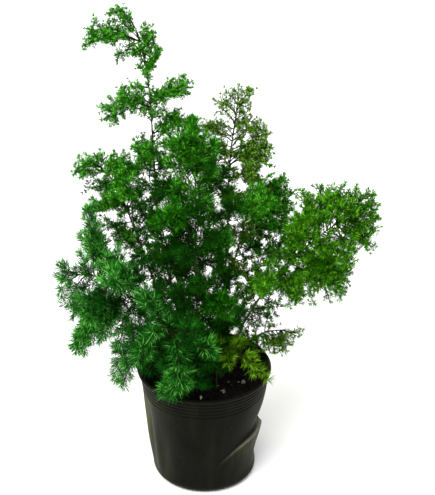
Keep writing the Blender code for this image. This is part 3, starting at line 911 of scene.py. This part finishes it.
def forked(twigs, look, rng):
    """Short twigs that leave each longer twig left and right in turn, at 45 degrees from it."""
    long_enough = np.flatnonzero(twigs["reach"] > FORKS_FROM)
    pick = np.repeat(long_enough, look.forks)
    order = np.tile(np.arange(look.forks), len(long_enough))
    s = (order + 0.8 + rng.uniform(-0.2, 0.2, len(pick))) / (look.forks + 0.6)
    foot, forward = twig_point(twigs, pick, s)
    turn = math.pi * order + rng.uniform(0, 6.3, len(twigs["reach"]))[pick] + 0.5 * order
    outward = sideways(forward, turn)
    lean = np.radians(rng.uniform(38, 58, len(pick)))[:, None]
    return {"foot": foot, "to": unit(np.cos(lean) * forward + np.sin(lean) * outward),
            "reach": twigs["reach"][pick] * (0.62 - 0.22 * s) * rng.uniform(0.8, 1.1, len(pick)),
            "curl": 0.15 * forward + rng.normal(0, 0.12, (len(pick), 3)),
            "inner": s * twigs["outer"][pick], "outer": np.minimum(1.0, s + 0.45),
            "light": twigs["light"][pick] + rng.uniform(-0.4, 0.4, len(pick))}


def grow(line, look, rng):
    """One branch. Twigs leave the middle line at a lean from its direction, a golden turn apart,
    as far as the branch is wide there, and fork. Tufts stand every pitch along them, and needles
    splay from each tuft's own direction."""
    fine = smooth_path(line, SPINE_POINTS)
    length = along_line(fine, np.zeros(1))[3]
    count = max(4, int(length * (0.98 - look.start) / look.twig_step))
    share = np.linspace(look.start, 0.98, count) + rng.uniform(-0.4, 0.4, count) / (count + 1)
    foot, forward, wide, _ = along_line(fine, np.clip(share, look.start, 0.985))
    outward = sideways(forward, GOLDEN_TURN * np.arange(count) + rng.uniform(0, 6.3))
    lean = np.radians(TWIG_LEAN + rng.uniform(-12, 10, count))
    wanted = wide * rng.uniform(0.72, 1.05, count) - 0.35 * look.needle
    curl = TWIG_CURL * forward + np.array([0, 0, 0.15]) + rng.normal(0, 0.10, (count, 3))
    twigs = {"foot": foot,
             "to": unit(np.cos(lean)[:, None] * forward + np.sin(lean)[:, None] * outward),
             "reach": np.maximum(wanted / np.sin(lean), 0.35 * look.needle), "curl": curl,
             "inner": np.zeros(count), "outer": np.ones(count), "light": rng.uniform(-1, 1, count)}
    if look.forks:
        twigs = joined_twigs([twigs, forked(twigs, look, rng)])
    count = len(twigs["reach"])
    steps = np.linspace(0, 1, TWIG_POINTS)
    spots = twig_point(twigs, np.repeat(np.arange(count), TWIG_POINTS), np.tile(steps, count))[0]
    twig_radii = TWIG_RADIUS * np.linspace(1.0, 0.5, TWIG_POINTS)[None] * np.ones((count, 1))
    spine_radii = (SPINE_RADIUS * np.linspace(1.0, 0.4, SPINE_POINTS))[None]
    parts = [twig_tubes(fine[None, :, :3], spine_radii, 5),
             twig_tubes(spots.reshape(count, TWIG_POINTS, 3), twig_radii, 3)]
    # tufts along the side twigs
    per_twig = np.maximum(1, np.ceil(twigs["reach"] / look.pitch).astype(int))
    twig = np.repeat(np.arange(count), per_twig)
    order = np.arange(len(twig)) - np.repeat(np.cumsum(per_twig) - per_twig, per_twig)
    s = np.clip((order + 1.0) / per_twig[twig] + rng.uniform(-0.06, 0.06, len(twig)), 0.15, 1.0)
    tuft_at, tuft_to = twig_point(twigs, twig, s)
    depth = twigs["inner"][twig] + (twigs["outer"] - twigs["inner"])[twig] * s
    # tufts along the middle line
    spine_count = max(3, int(length * (1 - look.start) / look.pitch))
    spine_share = np.linspace(look.start, 1.0, spine_count)
    spine_at, spine_to, _, _ = along_line(fine, spine_share)
    tuft_at, tuft_to = np.vstack([tuft_at, spine_at]), np.vstack([tuft_to, spine_to])
    depth = np.concatenate([depth, 0.15 + 0.85 * ease(0.85, 1.0, spine_share)])
    light = np.concatenate([twigs["light"][twig], rng.uniform(-1, 1, spine_count)])
    # needles
    tufts = len(tuft_at)
    n = tufts * look.per_tuft
    own = np.repeat(np.arange(tufts), look.per_tuft)
    slot = np.tile(np.arange(look.per_tuft), tufts)
    at_end = (depth > 0.93)[own]
    splay = np.radians(rng.uniform(look.splay[0], look.splay[1], n)) * np.where(at_end, 0.62, 1.0)
    around = 2 * math.pi * (slot / look.per_tuft + rng.uniform(0, 1, tufts)[own]
                            + rng.normal(0, 0.04, n))
    needle_to = unit(np.cos(splay)[:, None] * tuft_to[own]
                     + np.sin(splay)[:, None] * sideways(tuft_to[own], around))
    needle_long = look.needle * rng.uniform(0.70, 1.12, n) * np.where(depth > 0.8, 0.85, 1.0)[own]
    lift = (0.22 * tuft_to[own] + [[0, 0, 0.10]]) * needle_long[:, None]
    low, high = look.tones
    # The tone rises with the tuft's depth, from the branch's middle to its outer ends: inner needles
    # are painted darker as the shade inside the bush, outer ones lighter. The rest of it is random.
    mid_tone = 0.02 + 0.27 * depth[own] + 0.14 * light[own] + 0.98 * rng.uniform(0, 1, n) ** 3.2
    tone = 0.02 + 0.86 * (low + (high - low) * np.clip(mid_tone, 0, 1))
    width = look.width * rng.uniform(0.8, 1.2, n)
    parts.append(needles(tuft_at[own], needle_to, needle_long, width, tone, lift))
    points, faces = stacked([part[:2] for part in parts])
    return points, faces, np.vstack([part[2] for part in parts])


# %% [markdown]
# ## Needle colours
# The needles are not one green. The low left of the plant is a cool blue-green, its middle a clear
# mid green, the top of the right stem is olive, the side branch in full light is yellow-green and
# the youngest shoots are lime. Each gets its own run of colours from shade to light, and every
# needle is a little paler towards its tip.

# %% Needle finishes
BARK = (0.020, 0.024, 0.008)


def needle_finish(name, stops):
    """A run of greens by tone, with the twigs' brown-green at its end, paler along the needle."""
    finish = Finish(name, Specular_IOR_Level=0.012, Roughness=0.5)
    chart = finish.wire(finish.node("ShaderNodeUVMap", {"uv_map": "OFBake"}))
    split = finish.node("ShaderNodeSeparateXYZ", {}, {0: chart})
    tone, along = finish.wire(split, 0), finish.wire(split, 1)
    places = [(0.90 * place, colour) for place, colour in stops] + [(0.925, BARK), (0.99, BARK)]
    body = finish.ramp(tone, places)
    tip = finish.mix(1.0, body, (1.35, 1.35, 1.25, 1.0), 'MULTIPLY')
    root = finish.mix(1.0, body, (0.62, 0.62, 0.60, 1.0), 'MULTIPLY')
    finish.paint(Base_Color=finish.mix(along, root, tip), Roughness=along * -0.12 + 0.52)
    return finish


FINISHES = {
    "cool": needle_finish("cool_green_needles", [
        (0.0, (0.0006, 0.008, 0.0006)), (0.35, (0.0085, 0.095, 0.0065)),
        (0.70, (0.0330, 0.250, 0.0210)), (1.0, (0.160, 0.510, 0.090))]),
    "mid": needle_finish("mid_green_needles", [
        (0.0, (0.0006, 0.008, 0.0002)), (0.35, (0.0095, 0.108, 0.0022)),
        (0.70, (0.0400, 0.290, 0.0085)), (1.0, (0.170, 0.540, 0.050))]),
    "olive": needle_finish("olive_needles", [
        (0.0, (0.0045, 0.019, 0.0006)), (0.35, (0.030, 0.112, 0.0030)),
        (0.70, (0.098, 0.260, 0.0110)), (1.0, (0.270, 0.500, 0.060))]),
    "sunlit": needle_finish("sunlit_needles", [
        (0.0, (0.0034, 0.028, 0.0004)), (0.35, (0.020, 0.132, 0.0018)),
        (0.70, (0.064, 0.280, 0.0050)), (1.0, (0.190, 0.510, 0.030))]),
    "young": needle_finish("young_needles", [
        (0.0, (0.010, 0.036, 0.0005)), (0.35, (0.042, 0.130, 0.001)),
        (0.70, (0.095, 0.250, 0.004)), (1.0, (0.230, 0.440, 0.035))]),
}
print(len(FINISHES), "needle finishes")

# %% [markdown]
# ## Dress every branch
# Each plain branch solid in the imported model is replaced by the twigs and needles grown along its
# own middle line. A table of looks says how each stem's branches differ: the low left is long and
# feathery, the heart of the plant is dense, and the right stem is open, so that light shows through.

# %% Looks by stem and by branch
# The heart and the back left stop short of the lightest tone: painted shade inside the bush.
LOOKS = {
    "crest": Look("mid", (0.18, 1.0), needle=0.0054, per_tuft=8, pitch=0.0029, twig_step=0.0021,
                  width=0.00038, forks=4, start=0.46),
    "tall": Look("mid", (0.18, 1.0), needle=0.0054, per_tuft=8, pitch=0.0029, twig_step=0.0021,
                 width=0.00038, forks=4),
    "shoulder": Look("mid", (0.14, 1.0), needle=0.0060, per_tuft=9, pitch=0.0031,
                     twig_step=0.0023, width=0.00038, forks=4),
    "centre": Look("mid", (0.0, 0.74), needle=0.0105, per_tuft=11, width=0.00036),
    "right": Look("olive", (0.14, 1.0), needle=0.0054, per_tuft=8, pitch=0.0030,
                  twig_step=0.0023, width=0.00038, forks=4),
    "side": Look("sunlit", (0.06, 1.0), needle=0.0064, per_tuft=9, pitch=0.0033,
                 twig_step=0.0028, width=0.00038),
    "left": Look("cool", (0.12, 1.0), needle=0.0120, per_tuft=10, splay=(30, 75), width=0.00036),
    "front": Look("cool", (0.0, 0.95), needle=0.0130, per_tuft=9, splay=(30, 80), width=0.00038),
    "young": Look("young", (0.40, 1.0), needle=0.0115, per_tuft=12, pitch=0.0080,
                  twig_step=0.0110, forks=0, width=0.00030),
    "low_right": Look("olive", (0.25, 1.0), needle=0.0056, per_tuft=8, pitch=0.0034,
                      twig_step=0.0032, width=0.00038, forks=3),
    "back_right": Look("mid", (0.16, 0.95), needle=0.0064, per_tuft=10, twig_step=0.0036),
    "back_left": Look("mid", (0.0, 0.70), needle=0.0080, twig_step=0.0046),
}
SLOTS = {"side": "sunlit_foliage", "young": "young_foliage"}

# %% Grow the branches
KEPT_LENGTH = {
    "tall_head": 0.72, "right_crest": 0.52, "right_shoulder": 0.76, "left_tip": 0.62,
    "tall_arm_right": 0.90, "shoulder_tip": 0.82, "side_under": 0.72, "front_drape": 0.82,
    "low_right_tip": 0.64, "left_drop": 0.90, "shoulder_back": 0.62, "left_low": 0.76,
    "back_left_top": 0.64, "right_flank": 0.50, "tall_crest": 1.04, "tall_arm_left": 0.90,
    "shoulder_low": 0.66}


def shortened(line, share):
    """The same line with its lengths from its foot scaled, so that it ends sooner."""
    kept = line.copy()
    kept[:, :3] = line[0, :3] + share * (line[:, :3] - line[0, :3])
    return kept


# Branches that look like another stem's.
OWN_LOOK = {"right_front": "shoulder", "tall_crest": "crest"}

needle_total = 0
for order, (node, (cane, line)) in enumerate(sprays.items()):
    kind = cane[5:]
    look = LOOKS[OWN_LOOK.get(node[6:], kind)]
    line = shortened(line, KEPT_LENGTH.get(node[6:], 1.0))
    points, faces, uv = grow(line, look, np.random.default_rng(100 + order))
    piece = add_piece("needles_" + node[6:], points, faces, FINISHES[look.finish].material,
                      SLOTS.get(kind, "foliage"), uv=uv)
    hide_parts(node)
    needle_total += len(faces)
print(len(sprays), "branches,", needle_total, "triangles")

# %% [markdown]
# ## Stems
# The stems are slim and woody, brown-green and a little knobbly where twigs once left them. Each
# follows its packed line with more sides and a radius that swells at its joints, and carries loose
# side twigs of its own between the branches, on all sides.

# %% Bark finishes
def bark_finish(name, dark, light):
    """Lengthwise streaks between a dark and a light bark."""
    finish = Finish(name, Roughness=0.62, Specular_IOR_Level=0.12)
    grain = finish.noise(260.0, detail=4.0, rough=0.6, stretch=(1.0, 1.0, 0.15))
    blotch = finish.noise(70.0, detail=2.0)
    finish.paint(Base_Color=finish.ramp((grain * 0.6 + blotch * 0.4).clamped(),
                                        [(0.3, dark), (0.7, light)]))
    finish.bump(grain, 0.0004)
    return finish


BARKS = {"cane_bark": bark_finish("woody_bark", (0.010, 0.010, 0.004), (0.045, 0.042, 0.016)),
         "young_shoot": bark_finish("green_shoot", (0.010, 0.018, 0.003), (0.045, 0.070, 0.010))}

# %% [markdown]
# ### Twigs between the branches
# Between its main branches a stem carries shorter twigs on all sides. Some are spread evenly along
# it, a golden turn apart, and fill the shade; their needles are painted darker, as that shade. The
# rest are chosen one by one in a table, each by where its tip is, because they draw the outline.
# Chance could place them all, but no two stems of a real plant are filled out alike.

# %% Loose twigs of the stems
# Where they start and end along the stem, how far apart, how long and how wide they are in metres,
# and how light, as a share of the stem's lightest tone: kept low, as painted shade in the heart.
FILL = {"tall": (0.20, 0.74, 0.008, 0.036, 0.0150, 0.60),
        "shoulder": (0.18, 0.94, 0.009, 0.029, 0.0140, 0.60),
        "centre": (0.12, 0.92, 0.006, 0.050, 0.0160, 0.42),
        "right": (0.12, 0.72, 0.010, 0.042, 0.0140, 0.70),
        "side": (0.25, 0.98, 0.009, 0.032, 0.0130, 0.46),
        "left": (0.20, 0.95, 0.008, 0.040, 0.0140, 0.46),
        "front": (0.16, 0.92, 0.008, 0.040, 0.0140, 0.46),
        "low_right": (0.30, 0.90, 0.012, 0.022, 0.0090, 0.60),
        "young": (0.45, 0.95, 0.010, 0.014, 0.0080, 0.46),
        "back_right": (0.15, 0.95, 0.009, 0.050, 0.0150, 0.66),
        "back_left": (0.15, 0.95, 0.009, 0.046, 0.0150, 0.50)}


# A twig's width along its length, as shares of its widest.
LOOSE_SWELL = np.array([0.15, 0.55, 0.90, 1.0, 0.85, 0.45])
CHOSEN_SWELL = np.array([0.2, 0.6, 0.95, 1, 0.9, 0.5])
BOW_SHARE = 0.12        # how high a chosen twig bows, as a share of its length


def side_lines(cane, spread, rng):
    """Lines of loose twigs: they leave the stem every step along it, a golden turn apart, and
    bend upwards; each is as wide as a bell over its length."""
    first, last, step, reach, wide = spread
    length = along_line(cane, np.zeros(1))[3]
    count = int(length * (last - first) / step)
    share = first + (last - first) * (np.arange(count) + rng.uniform(0.2, 0.8, count)) / count
    foot, forward, _, _ = along_line(cane, share)
    outward = sideways(forward, GOLDEN_TURN * np.arange(count) + rng.uniform(0, 6.3))
    reach = reach * rng.uniform(0.65, 1.1, count)
    s = np.linspace(0, 1, len(LOOSE_SWELL))[None, :, None]
    lines = (foot[:, None] + reach[:, None, None]
             * (s * unit(0.45 * forward + outward)[:, None] + 0.22 * s ** 2 * forward[:, None]
                + s ** 2 * [0, 0, -0.10]))
    width = wide * LOOSE_SWELL
    return [np.column_stack([line, width]) for line in lines]


# %% Chosen side branches
# Where each leaves its stem, in hundredths of the stem's length, then how far its tip lies to the
# right, to the back and above that point, and how wide it is, in millimetres.
CHOSEN = {
    "tall": [
        (97, 6, -3, 31, 9), (95, 7, 4, 28, 9), (94, -12, -3, 19, 8), (91, 4, -4, 16, 7),
        (90, -6, 4, 16, 7), (87, -2, -6, 24, 7), (100, -24, -4, -18, 10), (100, -50, 2, 4, 10),
        (100, -36, -4, 3, 10), (100, -30, 3, 24, 7), (100, -58, -4, -3, 9), (94, 10, 3, 6, 9),
        (92, -8, 3, 4, 7), (96, 2, 3, 4, 8), (84, -30, -8, 9, 10), (82, -17, 6, 6, 11),
        (83, -42, 4, -3, 8), (83, 16, -6, 14, 10), (84, 31, 4, 10, 8), (79, 7, -8, 16, 10),
        (79, -10, 0, 11, 9), (76, 13, -4, 14, 10), (86, -8, -5, 4, 10), (86, 12, 5, 4, 10),
        (84, 4, -8, 8, 10), (80, -6, 6, 10, 10), (82, -20, -4, 3, 9), (76, 20, -6, 3, 10),
        (73, 14, -8, 4, 10), (68, 14, -8, 4, 10), (68, -12, -6, 4, 9), (80, 22, -4, 2, 10),
        (88, -16, -4, -2, 9), (88, -30, 4, -5, 9), (88, 8, -4, -6, 9), (86, 14, 4, -6, 10),
        (70, 8, -8, 2, 10), (66, 14, -8, 2, 10), (96, -8, 3, 4, 8), (93, 6, -4, 4, 8),
        (100, 6, -4, 8, 11), (80, 4, -4, 14, 10), (98, 10, 3, 6, 11), (97, -6, -4, 6, 10),
        (95, 4, -3, -3, 9), (95, 8, 3, -5, 9), (100, -26, 2, 34, 9)],
    "shoulder": [
        (100, -10, -4, 10, 9), (96, -5, 4, 18, 10), (93, 0, -6, 24, 10), (90, 4, 6, 26, 10),
        (88, 16, -6, 30, 10), (84, -16, -8, -2, 9), (97, -8, 4, -2, 10), (90, 10, -6, 12, 10),
        (84, 10, -8, 6, 10), (78, -6, -8, 4, 10), (65, -20, -6, 12, 12), (60, -26, -6, 16, 12),
        (70, -4, -14, 2, 11), (55, -16, -14, 10, 12), (100, -26, -4, -6, 9), (94, -4, -6, 10, 11),
        (92, 4, -6, 16, 11), (80, -44, -8, -4, 9), (98, -22, -3, -3, 9), (90, -12, -8, 4, 11),
        (78, -8, -6, 0, 11), (93, 0, -6, 30, 10), (90, 8, 4, 36, 10), (100, -4, -3, 16, 10),
        (80, 12, -8, 26, 11), (78, 16, -8, 36, 11), (80, -28, -8, 2, 10), (80, -40, -8, 4, 10),
        (86, 2, -8, 18, 11), (97, -14, 3, 12, 9)],
    "centre": [
        (96, -27, -5, 33, 11), (100, -12, -4, 25, 11), (100, 3, -8, 24, 10), (93, 4, -12, 18, 10),
        (88, 9, -10, 15, 9), (92, -15, -10, 28, 11), (95, 18, 4, 22, 10), (100, -28, -6, 46, 12),
        (100, -15, -8, 50, 12), (100, 9, -6, 48, 12), (100, 19, -4, 42, 12), (100, -2, -6, 55, 11),
        (95, -20, -14, 10, 11), (95, -10, -16, -4, 11), (92, 14, -14, 2, 11)],
    "right": [
        (100, 1, 0, 20, 9), (100, -11, -4, 16, 9), (97, -21, 3, 14, 10), (94, -15, -4, 19, 9),
        (98, 10, -3, 14, 8), (89, -24, -3, 14, 10), (90, -12, 4, 10, 9), (95, 14, -3, 8, 9),
        (93, 22, 3, 4, 9), (84, 36, -3, 8, 9), (81, 15, 4, 10, 9), (79, -8, -4, 14, 8),
        (74, 9, -4, 8, 8), (42, 19, -12, 12, 9), (92, -31, -3, 4, 11), (88, -36, 3, 12, 11),
        (90, -20, -5, -6, 10), (97, -8, 3, 12, 9), (86, -14, -5, 2, 9), (80, 44, -4, 22, 9),
        (85, 34, 4, 2, 10), (84, -6, -4, 2, 10), (92, 8, 4, 8, 9), (88, 10, -4, 6, 9), (82, 6, 4, 4, 9),
        (84, -15, 4, -4, 10), (78, -6, -6, 2, 9), (74, 6, -6, 6, 10), (70, -9, -8, 0, 10),
        (68, 6, -6, 4, 10), (64, -8, -8, 0, 10), (55, 8, -8, -2, 10), (50, 8, -10, -8, 10),
        (50, 6, -10, -12, 10), (50, 14, -12, -26, 10), (55, 2, -8, -4, 10), (60, 4, -8, -4, 10),
        (80, 38, -6, 12, 11), (80, 40, -4, 12, 10), (100, 10, -3, -2, 9), (97, 4, 3, 2, 9),
        (90, 14, -3, 8, 9), (92, 4, 3, 6, 9), (80, -8, -4, 26, 9), (78, 4, -6, 2, 10)],
    "back_right": [
        (97, 17, -20, 36, 10), (100, 32, -20, 35, 11), (100, 44, -15, 27, 11), (95, 27, -20, 27, 11),
        (92, 43, -20, 22, 11), (88, 19, -25, 22, 10), (85, 36, -25, 19, 11), (80, 12, -30, 20, 9),
        (100, 52, -20, 28, 10), (100, 40, -25, 10, 12), (95, 50, -25, 10, 11), (90, 48, -25, 2, 11),
        (88, 28, -25, -2, 10), (90, 30, -25, 16, 11), (100, 45, -25, 18, 12), (100, 52, -25, 8, 12),
        (95, 56, -28, -2, 11), (96, 20, -25, 8, 10), (84, 20, -28, 0, 10), (80, 34, -28, 0, 11),
        (100, 38, -20, 45, 10), (100, 42, -15, 42, 11)],
    "side": [
        (100, 8, 0, 35, 11), (100, 20, -6, 44, 10), (100, 37, 4, 34, 9), (97, 2, -8, 43, 11),
        (94, -4, 6, 36, 11), (95, 13, -14, 37, 11), (98, 23, -12, 25, 11), (100, 32, -6, 2, 11),
        (97, 37, -4, -12, 11), (94, 34, -8, -16, 11), (90, 29, -10, -22, 11), (87, 19, -14, -1, 11),
        (90, 8, -12, 35, 11), (86, -3, -8, 37, 10), (82, 11, -12, 30, 10), (77, 6, 8, 23, 10),
        (90, -14, 5, 49, 9), (78, 24, -8, -6, 11), (74, 25, -4, -17, 11), (78, 37, 4, -33, 11),
        (84, 38, -4, -44, 9), (68, 22, 4, -22, 9), (86, 31, 4, -38, 11), (72, 4, -10, 26, 9),
        (78, 8, -6, -34, 11), (80, 18, -6, -40, 11), (84, 14, -4, -46, 11), (84, 28, -4, -48, 11),
        (88, 34, 0, -50, 10), (100, 32, -4, -22, 11), (100, 22, 4, -8, 11), (100, 40, 0, 18, 10),
        (95, 6, -16, 8, 11), (84, 28, -4, -63, 12), (80, 18, -6, -58, 11), (78, 8, -6, -47, 11),
        (88, 36, 0, -65, 11), (84, 40, -4, -62, 10), (100, 20, -4, -33, 10), (100, 13, -4, -58, 9),
        (80, 4, -8, -56, 9), (70, -9, -6, -24, 9), (100, 44, 2, 22, 8), (100, 3, 0, 45, 10),
        (90, -16, 0, 56, 9), (60, -16, -8, 12, 10), (60, -28, -10, -2, 10), (66, -10, -8, 18, 10),
        (100, 40, -4, -28, 12), (100, 44, 0, -8, 11), (74, 10, -8, 52, 12), (78, 4, -8, 34, 11),
        (82, -4, -10, 12, 11), (86, 10, -10, 4, 11), (100, 38, 0, 34, 9), (72, 10, -8, 10, 11),
        (66, 4, -10, 14, 11), (80, 22, -14, 6, 12), (84, 18, -14, 14, 12), (90, 8, -14, -12, 12),
        (86, -4, -14, -8, 12), (92, 14, -14, -8, 12), (76, 14, -12, 10, 12), (74, 22, -6, 60, 12),
        (78, 12, -6, 58, 12), (80, 14, 4, 66, 10), (60, -4, -16, 18, 12), (66, -4, -16, 6, 12),
        (70, 6, -14, -6, 12), (64, 10, -12, -10, 11), (70, 12, -12, -18, 11), (72, 16, -10, -30, 11),
        (66, 22, -8, -28, 10)],
    "left": [
        (97, -4, 4, 20, 9), (94, -5, -12, 14, 9), (100, -22, -4, -20, 8), (97, -21, -6, -33, 9),
        (94, -22, 4, -50, 8), (84, -38, -12, -70, 7), (80, -30, -14, -58, 9), (76, -21, -16, -45, 10),
        (68, -16, -18, -24, 10), (64, -10, -20, -14, 10), (50, -30, -25, -36, 10),
        (48, -36, -28, -53, 8), (93, -4, 5, 78, 7), (90, -4, 10, 60, 8), (84, -40, -12, -78, 9),
        (84, -32, -12, -76, 8), (76, -27, -16, -50, 10), (68, -16, -18, -42, 11), (84, -2, -10, 36, 12),
        (80, 4, -12, 28, 12), (88, 6, -10, 22, 12), (76, 10, -16, 16, 12), (70, 14, -20, 12, 12),
        (64, 8, -20, 20, 12), (80, 2, -8, 46, 11)],
    "young": [
        (100, 26, -6, -20, 8), (100, 12, -8, -6, 8), (80, -11, -6, 13, 8), (75, -18, -4, 19, 8),
        (90, -4, -12, -9, 8), (95, 4, 2, 10, 7)],
    "low_right": [
        (100, 16, 0, -7, 7), (95, 7, -6, -21, 8), (80, 6, -6, -8, 8), (70, 1, 0, 16, 8),
        (60, -3, -6, 22, 8), (85, 6, -4, 10, 9), (100, 4, -4, -8, 9), (100, -4, -5, -20, 9),
        (85, 8, 4, -16, 8), (100, 7, -4, -24, 9), (90, 10, -4, -14, 9), (80, 12, -6, -12, 9),
        (100, 10, -6, -14, 9), (90, 4, -6, -24, 10), (100, 2, -6, -28, 9), (80, 8, -8, -20, 9),
        (70, 4, -8, -10, 9)],
}


def chosen_lines(cane, rows):
    """The line of each chosen branch: from the stem straight towards its tip, bowed up by a
    parabola 0.12 of its length high."""
    lines = []
    for hundredths, aside, back, rise, wide in rows:
        foot = along_line(cane, np.array([hundredths / 100]))[0][0]
        tip = np.array([aside, back, rise]) / 1000
        s = np.linspace(0, 1, len(CHOSEN_SWELL))[:, None]
        bow = 4 * s * (1 - s) * BOW_SHARE * np.linalg.norm(tip)
        line = foot + s * tip + bow * [0, 0, 1]
        lines.append(np.column_stack([line, wide / 1000 * CHOSEN_SWELL]))
    return lines


TWIGS_IN_PIECE = 50     # more chosen twigs than this on one stem make a second piece
for order, (kind, (*spread, light)) in enumerate(FILL.items()):
    look = LOOKS[kind]
    rng = np.random.default_rng(300 + order)
    # These loose twigs are painted darker than their stem's branches, as the shade inside the bush.
    painted_shade_look = look.changed(tones=(0.0, look.tones[1] * light), pitch=look.pitch * 1.1,
                          twig_step=look.twig_step * 1.5, forks=1, start=0.25)
    stem = canes["cane_" + kind]
    groups = {"loose_twigs_": [grow(line, painted_shade_look, rng) for line in side_lines(stem, spread, rng)]}
    chosen = look.changed(tones=(look.tones[0], min(1.0, look.tones[1] + 0.2)),
                          forks=min(look.forks, 2), start=0.30)
    rows = CHOSEN.get(kind, [])
    for number, name in enumerate(("side_twigs_", "tip_twigs_")):
        part = rows[number * TWIGS_IN_PIECE:(number + 1) * TWIGS_IN_PIECE]
        groups[name] = [grow(line, chosen, rng) for line in chosen_lines(stem, part)]
    for name, grown in groups.items():
        if grown:
            points, faces = stacked([part[:2] for part in grown])
            add_piece(name + kind, points, faces, FINISHES[look.finish].material,
                      SLOTS.get(kind, "foliage"), uv=np.vstack([part[2] for part in grown]))
            needle_total += len(faces)
            print(name + kind, len(grown), "twigs,", len(faces), "triangles")
print(needle_total, "triangles of needles in all")

# %% Stems with swollen joints
JOINT_SPACING = 0.013
STEM_RINGS = 240
STEM_SIDES = 10
for name, line in canes.items():
    kind = name[5:]
    body_slot = "young_shoot" if kind == "young" else "cane_bark"
    places = np.linspace(0, travelled(line)[-1], STEM_RINGS)
    fine = resampled(line, places)
    beat = (places / JOINT_SPACING) % 1.0
    slim = 0.6 if kind == "young" else 0.92
    radius = fine[:, 3] * (slim + 0.35 * np.exp(-((beat - 0.5) / 0.10) ** 2))
    points, faces, _ = tubes(fine[None, :, :3], radius[None], STEM_SIDES)
    piece = add_piece("stem_" + kind, points, faces, BARKS[body_slot].material, body_slot)
    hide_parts(name)

# %% [markdown]
# ## The packed box
# The needles and twigs stand a little proud of the imported model's box in places. The finished
# look has to stay inside the imported model's box but for a little standing proud. That box is
# printed.

# %% Finish
print("packed box", cad_box)
